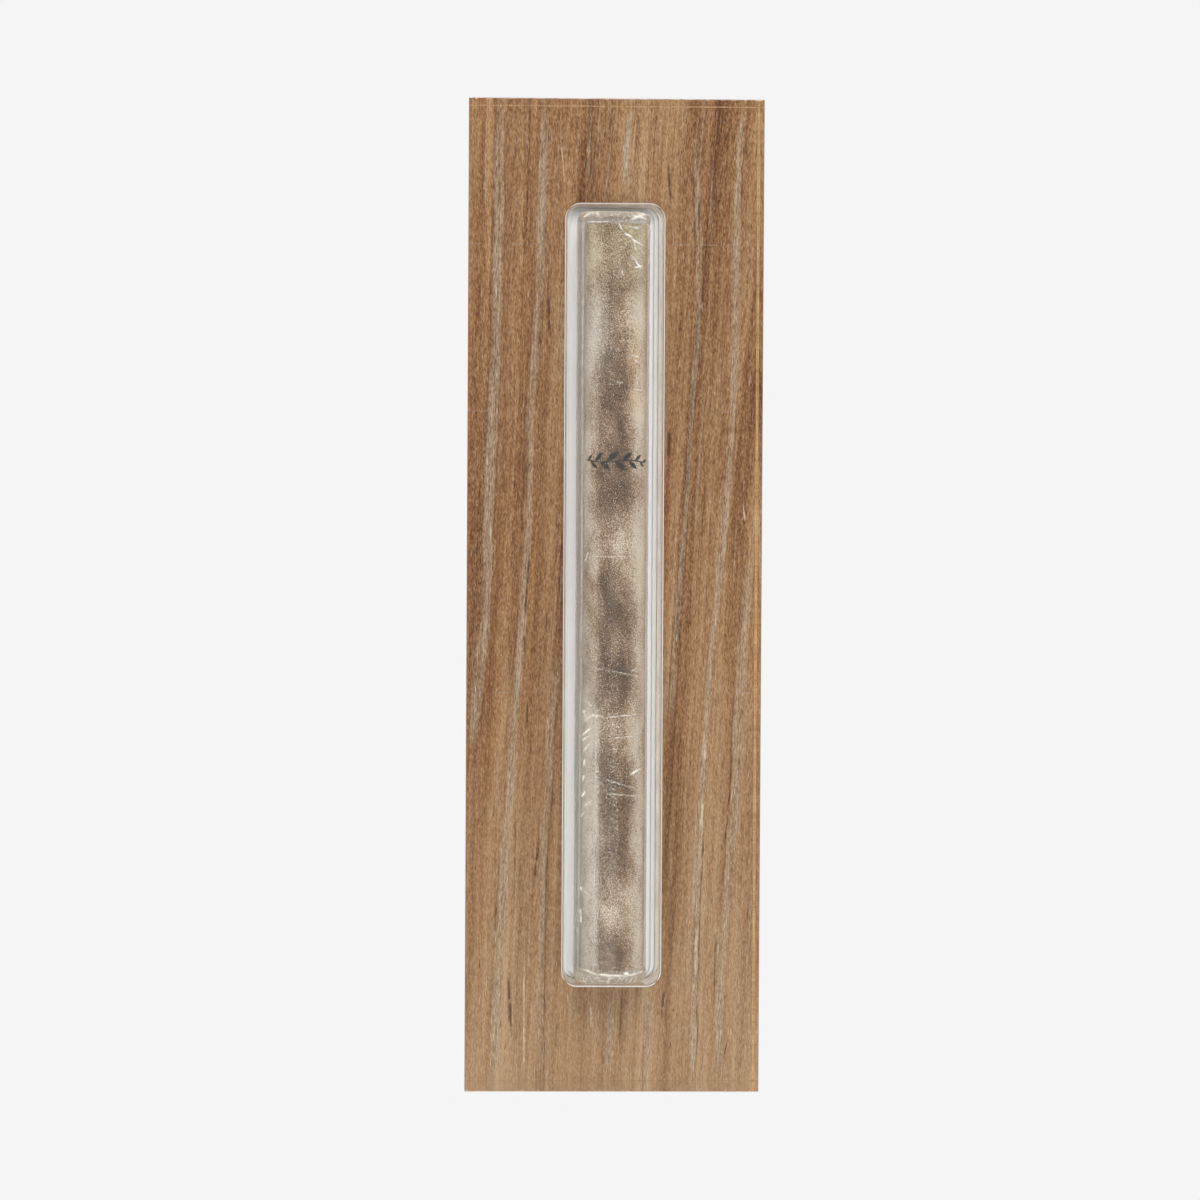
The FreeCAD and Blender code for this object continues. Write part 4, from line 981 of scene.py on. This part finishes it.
# a plain ink ornament: a leafy sprig lying across the sheet
INK_Z = 21.4
sz = g.sub(z, INK_Z)
jit = g.mad(speck, 0.30, -0.15)
stem_z = g.mul(g.math("SINE", g.mul(arc, 0.75)), 0.16)
stem = g.mul(g.fit(g.sub(g.size(g.sub(sz, stem_z)), 0.10), -0.05, 0.07, 1.0, 0.0), g.fit(g.size(arc), 6.0, 6.2, 1.0, 0.0))
ink = stem
for s0, z0, half, wide, turn in (
    (-5.2, 0.55, 0.85, 0.30, 35), (-4.2, -0.55, 1.00, 0.34, -35), (-3.0, 0.70, 1.15, 0.40, 38), (-1.8, -0.65, 1.15, 0.42, -38),
    (-0.5, 0.75, 1.25, 0.44, 40), (0.7, -0.70, 1.25, 0.44, -40), (1.9, 0.70, 1.15, 0.40, 38), (3.0, -0.60, 1.05, 0.36, -36),
    (4.1, 0.55, 0.90, 0.32, 34), (5.1, -0.45, 0.80, 0.28, -32), (6.2, 0.10, 0.75, 0.26, 4),
):
    c_, s_ = math.cos(math.radians(turn)), math.sin(math.radians(turn))
    ds, dz = g.sub(arc, s0), g.sub(sz, z0)
    a_ = g.div(g.add(g.mul(ds, c_), g.mul(dz, s_)), half)
    b_ = g.div(g.size(g.sub(g.mul(dz, c_), g.mul(ds, s_))), wide)
    ink = g.high(ink, g.fit(g.add(g.add(b_, g.mul(a_, a_)), jit), 0.85, 1.12, 1.0, 0.0))
ink = g.mul(ink, g.fit(speck, 0.30, 0.46, 0.86, 1.0))
ink = g.mul(ink, g.fit(rad, 4.5, 4.6))
col = g.mix(ink, col, rgb(10, 9, 8))

parchment = g.done(g.principled(
    Base_Color=col,
    Roughness=g.fit(speck, 0.3, 0.7, 0.42, 0.62),
    Specular_IOR_Level=0.22,
    Normal=g.bump(g.sub(g.add(g.mul(speck, 0.6), g.mul(blot, 0.8)), g.mul(dots, 0.5)), 0.32, 0.00010),
))
add_object("parchment_roll", bm, parchment, "case", ("parchment_scroll",), smooth_all=True)
roll = bpy.data.objects["parchment_roll"]
roll.data.set_sharp_from_angle(angle=math.radians(45))

# ---------------------------------------------------------------------------
# Film sleeve: a thin clear bag, flattened at its ends and wrinkled
# ---------------------------------------------------------------------------
SX0, SX1 = -5.72, 5.82
SY0, SY1 = -14.88, -4.02
SZ0, SZ1 = -62.2, 61.2
NS = 188
NL = 700

# creases on the front: x0, z0, x1, z1, height, half width, brightness of the painted highlight along the crease
creases = [
    (-4.95, 60.0, -4.86, 0.0, 0.10, 0.14, 0.42), (-4.86, 0.0, -5.15, -60.0, 0.10, 0.14, 0.40),
    (0.6, 59.4, 1.1, 58.2, 0.07, 0.16, 1.0), (2.0, 58.8, 4.2, 58.4, 0.06, 0.14, 0.7), (1.6, 57.6, 3.0, 57.0, 0.08, 0.18, 1.0),
    (2.6, 56.8, 4.4, 55.8, 0.08, 0.18, 0.9), (3.0, 56.4, 3.4, 55.0, 0.07, 0.16, 0.8), (3.8, 55.6, 4.8, 54.4, 0.06, 0.18, 0.7),
    (2.9, 54.0, 4.3, 52.0, 0.08, 0.18, 1.0), (3.2, 52.2, 4.4, 52.6, 0.06, 0.15, 0.9), (1.15, 51.8, 1.35, 50.8, 0.08, 0.18, 0.9),
    (2.6, 38.3, 3.9, 38.1, 0.07, 0.14, 0.9), (3.2, 37.6, 4.2, 37.0, 0.07, 0.14, 0.8), (3.7, 35.6, 3.75, 32.8, 0.06, 0.12, 0.6),
    (3.1, 32.9, 4.3, 32.7, 0.06, 0.13, 0.8), (0.4, 34.0, 1.4, 33.8, 0.06, 0.14, 0.6), (0.5, 39.2, 1.0, 38.8, 0.05, 0.14, 0.6),
    (-4.4, 6.3, 3.6, 6.1, 0.04, 0.10, 0.45), (-4.5, 5.2, -3.8, 6.9, 0.05, 0.14, 0.6),
    (-4.6, -16.2, -3.2, -17.8, 0.06, 0.14, 0.6), (-4.7, -18.8, -3.9, -18.4, 0.06, 0.16, 0.7),
    (-3.6, -11.4, 0.6, -12.2, 0.05, 0.10, 0.45), (0.6, -12.2, 4.0, -12.9, 0.06, 0.12, 0.7), (3.0, -12.1, 3.9, -11.7, 0.07, 0.14, 0.9),
    (-4.6, -18.2, -3.9, -19.8, 0.06, 0.14, 0.7), (-4.7, -20.4, -2.8, -18.8, 0.06, 0.13, 0.6),
    (-4.6, -19.0, -1.4, -19.4, 0.06, 0.15, 0.6), (-1.4, -19.5, 4.0, -19.0, 0.07, 0.13, 0.65), (-4.4, -18.9, -1.2, -19.3, 0.06, 0.12, 0.5),
    (-0.6, -22.9, 3.7, -22.4, 0.06, 0.11, 0.6), (-4.6, -22.4, -3.4, -21.2, 0.09, 0.18, 1.0), (-4.6, -23.2, -3.5, -22.4, 0.09, 0.16, 1.0),
    (-4.5, -25.0, -3.4, -23.6, 0.09, 0.16, 0.9), (-4.4, -27.6, -4.2, -26.0, 0.08, 0.18, 0.9), 
     (-4.6, -29.8, -4.3, -28.6, 0.08, 0.2, 0.9), (-4.7, -32.4, -4.2, -31.4, 0.08, 0.2, 0.9),
    (-4.6, -34.0, -3.0, -32.6, 0.06, 0.2, 0.5), (3.0, -28.6, 4.6, -27.8, 0.07, 0.3, 0.7), 
    (-1.4, -29.2, 3.9, -30.9, 0.05, 0.10, 0.6), (-1.2, -31.6, 4.3, -32.1, 0.06, 0.11, 0.65),
    (-4.7, -35.6, -4.4, -34.6, 0.08, 0.18, 0.8), (-4.7, -47.0, -2.6, -48.4, 0.06, 0.13, 0.6), (-2.6, -48.4, 1.0, -49.6, 0.04, 0.10, 0.35),
    (-4.75, -46.6, -4.5, -47.4, 0.09, 0.25, 1.0), (-4.8, -50.2, -4.7, -52.4, 0.08, 0.2, 0.8),
    (-2.55, -18.0, -2.75, -60.0, 0.03, 0.16, 0.30),
    (-5.1, -59.6, -2.0, -60.6, 0.10, 0.14, 0.85), (-2.0, -60.6, 2.4, -60.9, 0.10, 0.14, 0.85), (2.2, -60.4, 2.8, -60.5, 0.09, 0.25, 1.0),
    (2.4, -60.9, 5.2, -60.4, 0.09, 0.13, 0.7), (-4.8, 60.2, -3.9, 61.0, 0.07, 0.18, 0.8), (-4.9, 59.4, 5.2, 59.6, 0.07, 0.12, 0.75),
    (-2.9, 60.9, -2.7, 60.8, 0.06, 0.25, 1.0), (-3.6, 60.9, -3.4, 60.8, 0.06, 0.22, 0.9), (2.6, 59.9, 5.0, 60.8, 0.06, 0.3, 0.8),
    (3.0, 60.6, 5.2, 59.8, 0.06, 0.2, 0.8),
]
segs = []
for x0, z0, x1, z1, h, w, b in creases:
    a, d = Vector((x0, z0)), Vector((x1 - x0, z1 - z0))
    segs.append((a, d, max(d.length_squared, 1e-9), h, w, b, min(z0, z1) - 4 * w, max(z0, z1) + 4 * w))


def sleeve_section(t):
    """The sleeve's section: round on the right, squarer on the left. t from 0 to 1, starting at the front middle going right."""
    a = math.tau * t - math.pi / 2
    c, s = math.cos(a), math.sin(a)
    cx, cy = (SX0 + SX1) / 2, (SY0 + SY1) / 2
    hx, hy = (SX1 - SX0) / 2, (SY1 - SY0) / 2
    n = 2.0 + 1.1 * smooth(0.0, -0.8, c)
    px = cx + hx * math.copysign(abs(c) ** (2.0 / n), c)
    py = cy + hy * math.copysign(abs(s) ** (2.0 / n), s)
    return px, py


base_ring = []
for i in range(NS * 8):
    base_ring.append(sleeve_section(i / (NS * 8)))
# even spacing, twice as fine on the front
lengths = [0.0]
for i in range(len(base_ring)):
    p, q = base_ring[i], base_ring[(i + 1) % len(base_ring)]
    wgt = 2.0 if (p[1] + q[1]) / 2 < -9.0 else 1.0
    lengths.append(lengths[-1] + wgt * math.hypot(q[0] - p[0], q[1] - p[1]))
ring_pts = []
j = 0
for i in range(NS):
    want = lengths[-1] * i / NS
    while lengths[j + 1] < want:
        j += 1
    f = (want - lengths[j]) / (lengths[j + 1] - lengths[j])
    p, q = base_ring[j], base_ring[(j + 1) % len(base_ring)]
    ring_pts.append((p[0] + (q[0] - p[0]) * f, p[1] + (q[1] - p[1]) * f))
ring_n = []
for i in range(NS):
    p, q = ring_pts[i - 1], ring_pts[(i + 1) % NS]
    t = Vector((q[0] - p[0], q[1] - p[1])).normalized()
    ring_n.append(Vector((t.y, -t.x)))

bm = bmesh.new()
highlight_layer = bm.verts.layers.float.new("painted_crease_highlight")
fold_shade_layer = bm.verts.layers.float.new("fold_shade")
rows = []
mid_c = Vector(((SX0 + SX1) / 2, (SY0 + SY1) / 2))
zs = []
for k in range(NL + 1):
    zs.append(SZ0 + (SZ1 - SZ0) * k / NL)
for k, zc in enumerate(zs):
    # the ends draw in: a rounded shoulder at each end
    e0, e1 = zc - SZ0, SZ1 - zc
    near = min(e0, e1)
    shoulder = 1.0 if near > 1.1 else math.sqrt(max(0.0, 1 - ((1.1 - near) / 1.1) ** 2))
    inset = 1.1 * (1 - shoulder)
    row = []
    live = [s for s in segs if s[6] <= zc <= s[7]]
    for i in range(NS):
        px, py = ring_pts[i]
        n2 = ring_n[i]
        fx, fy = px / 5.5, (py + 9.45) / 5.5
        crumple = noise.noise(Vector((fx * 2.6, fy * 2.6, zc * 0.33)))
        crumple2 = noise.noise(Vector((fx * 6.5 + 4, fy * 6.5, zc * 0.9)))
        upper = smooth(44, 58, zc) * smooth(-1.5, 2.5, px)
        lower = smooth(-10, -18, zc) * smooth(-34, -26, zc) * smooth(0.5, -3.0, px)
        ends = smooth(3.0, 0.4, near)
        amp = 0.035 + 0.05 * upper + 0.05 * lower + 0.05 * ends
        h = amp * (1 - 2 * abs(crumple)) * 0.9 + amp * 0.6 * (1 - 2 * abs(crumple2))
        if px < -4.6:
            h += 0.05 * noise.noise(Vector((1.5, fy * 2, zc * 0.12)))
        # painted highlights on the crumpled film, stronger at the upper right, the lower left and the ends
        painted_highlight = max(0.0, 0.75 - 8.0 * abs(crumple2)) * (0.10 + 0.45 * upper + 0.15 * lower + 0.5 * ends)
        # the painted highlights are kept out of the middle of the front, which is stretched smooth here, apart from its
        # long creases
        painted_highlight *= 1.0 - smooth(-3.4, -2.4, px) * smooth(-15.5, -17.5, zc) * smooth(-37.0, -34.5, zc)
        if py < -7.0:
            for a, d, l2, ch, cw0, cb, _, _ in live:
                q = Vector((px, zc)) - a
                # lines wander a little
                long_line = l2 > 400
                q.x += (0.03 if long_line else 0.10) * noise.noise(Vector((zc * 0.6, 4.0 + cb, 0)))
                q.y += 0.12 * noise.noise(Vector((px * 0.9, 9.0 + ch * 10, 0)))
                cw = cw0 * (1.0 if long_line else 0.95)
                f = min(1.0, max(0.0, q.dot(d) / l2))
                dist = (q - d * f).length
                if dist < 3 * cw:  # near enough to lift the film
                    taper = 1.0 if math.sqrt(l2) > 20 else (0.35 + 0.65 * math.sin(math.pi * min(1, max(0, f))) ** 0.5)
                    g_ = math.exp(-(dist / cw) ** 2) * taper
                    h += ch * g_ * 0.8
                    flick = 0.55 + 0.9 * noise.noise(Vector((px * 1.3, 2.0, zc * 1.3)))
                    if long_line:
                        flick = max(flick, 0.35)
                    # painted highlight along each crease
                    painted_highlight = max(painted_highlight, (1.05 if px < -3.0 and zc < 0 else 1.25) * cb * math.exp(-(dist / (cw * 0.85)) ** 2) * taper * min(1.2, max(0.15, flick + 0.35)))
        h = max(-0.06, h)
        p2 = Vector((px, py)) + n2 * (h - inset)
        wob = ends * 0.18 * noise.noise(Vector((fx * 3, fy * 3, 1.0 if e0 < e1 else 6.0)))
        v = bm.verts.new((p2.x * MM, p2.y * MM, (zc + (wob if 0 < k < NL else wob * 0.6)) * MM))
        v[highlight_layer] = min(1.0, painted_highlight)
        # painted shade: brown lines along the folds where the ends of the bag are folded over
        fold_shade = 0.0
        wave = 0.22 * noise.noise(Vector((px * 0.5, 3.0, 1.0 if e0 < e1 else 7.0)))
        for at_z, fw, fa in ((60.75, 0.13, 0.9), (60.2, 0.12, 0.75), (59.75, 0.3, 0.4), (-60.9, 0.12, 0.5), (-61.5, 0.14, 0.7), (-61.9, 0.2, 0.5)):
            fold_shade = max(fold_shade, fa * math.exp(-((zc + wave - at_z) / fw) ** 2))
        v[fold_shade_layer] = fold_shade * (0.5 + 0.5 * smooth(-0.3, 0.4, noise.noise(Vector((px * 0.8, 6.0, zc)))))
        row.append(v)
    rows.append(row)
for k in range(NL):
    for i in range(NS):
        j = (i + 1) % NS
        bm.faces.new((rows[k][i], rows[k][j], rows[k + 1][j], rows[k + 1][i]))


def close_end(row, zc, sign):
    """Closes an end of the bag with a pleated cap."""
    prev = row
    for step in range(1, 9):
        f = 1 - step / 9.0
        cur = []
        for i, v in enumerate(row):
            c = Vector((v.co.x / MM, v.co.y / MM)) - mid_c
            q = mid_c + Vector((c.x * (0.16 + 0.84 * f), c.y * f))
            pleat = 0.20 * math.sin(q.y * 2.6 + 0.5 * math.sin(q.x * 1.3)) * math.sin(math.pi * min(1.0, (1 - f) * 1.2)) \
                + 0.10 * noise.noise(Vector((q.x * 0.9, q.y * 1.4, zc)))
            w = bm.verts.new((q.x * MM, q.y * MM, (zc + sign * (-0.25 * (1 - f) + pleat * 0.6) - sign * 0.25) * MM))
            # painted highlights on the crests of the pleats, over a pale painted base
            w[highlight_layer] = max(0.0, min(1.0, 0.25 + 0.8 * math.sin(q.y * 2.6 + 0.5 * math.sin(q.x * 1.3)) ** 8 * 0.8))
            cur.append(w)
        for i in range(NS):
            j = (i + 1) % NS
            if sign > 0:
                bm.faces.new((prev[i], prev[j], cur[j], cur[i]))
            else:
                bm.faces.new((prev[j], prev[i], cur[i], cur[j]))
        prev = cur
    # the last ring folds shut on itself
    for i in range(1, NS // 2):
        a, b = prev[i], prev[(i + 1)]
        c, d = prev[(NS - i - 1) % NS], prev[(NS - i) % NS]
        quad = []
        for v in ((a, b, c, d) if sign > 0 else (d, c, b, a)):
            if v not in quad:
                quad.append(v)
        if len(quad) >= 3:
            bm.faces.new(quad)
    tri = (prev[0], prev[1], prev[NS - 1])
    bm.faces.new(tri if sign > 0 else tri[::-1])


close_end(rows[NL], SZ1, 1)
close_end(rows[0], SZ0, -1)
bmesh.ops.recalc_face_normals(bm, faces=bm.faces)

g = Graph("wrinkled_clear_film")
x, y, z = g.place()
# the painted highlights, read from the mesh's vertex attribute
at = g.node("Attribute", attribute_name="painted_crease_highlight")
painted_crease_highlight = at.outputs["Fac"]
at2 = g.node("Attribute", attribute_name="fold_shade")
fold_shade = at2.outputs["Fac"]
ripple = g.noise(g.vec(x, y, g.mul(z, 0.7)), 1.7, 4.0, 0.62, 0.6)
tiny = g.noise(g.vec(x, y, z), 6.5, 2.0, 0.6)
lw = g.node("LayerWeight")
lw.inputs["Blend"].default_value = 0.30
fres = g.node("Fresnel")
fres.inputs["IOR"].default_value = 1.50
bumped = g.bump(g.add(g.mul(ripple, 0.8), g.mul(tiny, 0.2)), 0.55, 0.00022)
g.put(fres.inputs["Normal"], bumped)
gloss = g.node("BsdfAnisotropic")
gloss.inputs["Roughness"].default_value = 0.16
gloss.inputs["Color"].default_value = (1, 0.95, 0.87, 1)
g.put(gloss.inputs["Normal"], bumped)
clear = g.node("BsdfTransparent")
clear.inputs["Color"].default_value = (0.975, 0.97, 0.96, 1)
haze_and_highlight = g.node("BsdfDiffuse")
g.put(haze_and_highlight.inputs["Color"], g.mix(painted_crease_highlight, g.ramp(tiny, [(0.3, rgb(193, 179, 163)), (0.7, rgb(216, 203, 188))]), rgb(242, 238, 230)))
m1 = g.node("MixShader")
g.put(m1.inputs[0], g.low(g.mul(fres.outputs[0], 1.1), 0.36))
g.put(m1.inputs[1], clear.outputs[0])
g.put(m1.inputs[2], gloss.outputs[0])
m2 = g.node("MixShader")
# painted light: the white diffuse layer is the film's haze plus the painted crease highlights and a painted sheen
# toward grazing angles
white = g.add(g.mul(painted_crease_highlight, 0.90), g.mul(g.fit(lw.outputs["Facing"], 0.55, 0.98), 0.50))
# painted light: the ends of the bag are painted whiter
white = g.add(white, g.fit(g.size(z), 59.6, 60.8, 0.0, 0.45))
g.put(m2.inputs[0], g.low(white, 0.9))
g.put(m2.inputs[1], m1.outputs[0])
g.put(m2.inputs[2], haze_and_highlight.outputs[0])
m3 = g.node("MixShader")
fold_shade_tone = g.node("BsdfDiffuse")
g.put(fold_shade_tone.inputs["Color"], g.ramp(ripple, [(0.35, rgb(118, 96, 68)), (0.65, rgb(176, 156, 126))]))
# painted shade along the end folds
g.put(m3.inputs[0], g.mul(fold_shade, 0.7))
g.put(m3.inputs[1], m2.outputs[0])
g.put(m3.inputs[2], fold_shade_tone.outputs[0])
film_mat = g.done(m3.outputs[0])
sleeve = add_object("film_sleeve", bm, film_mat, "case", ("scroll_sleeve",), smooth_all=True)
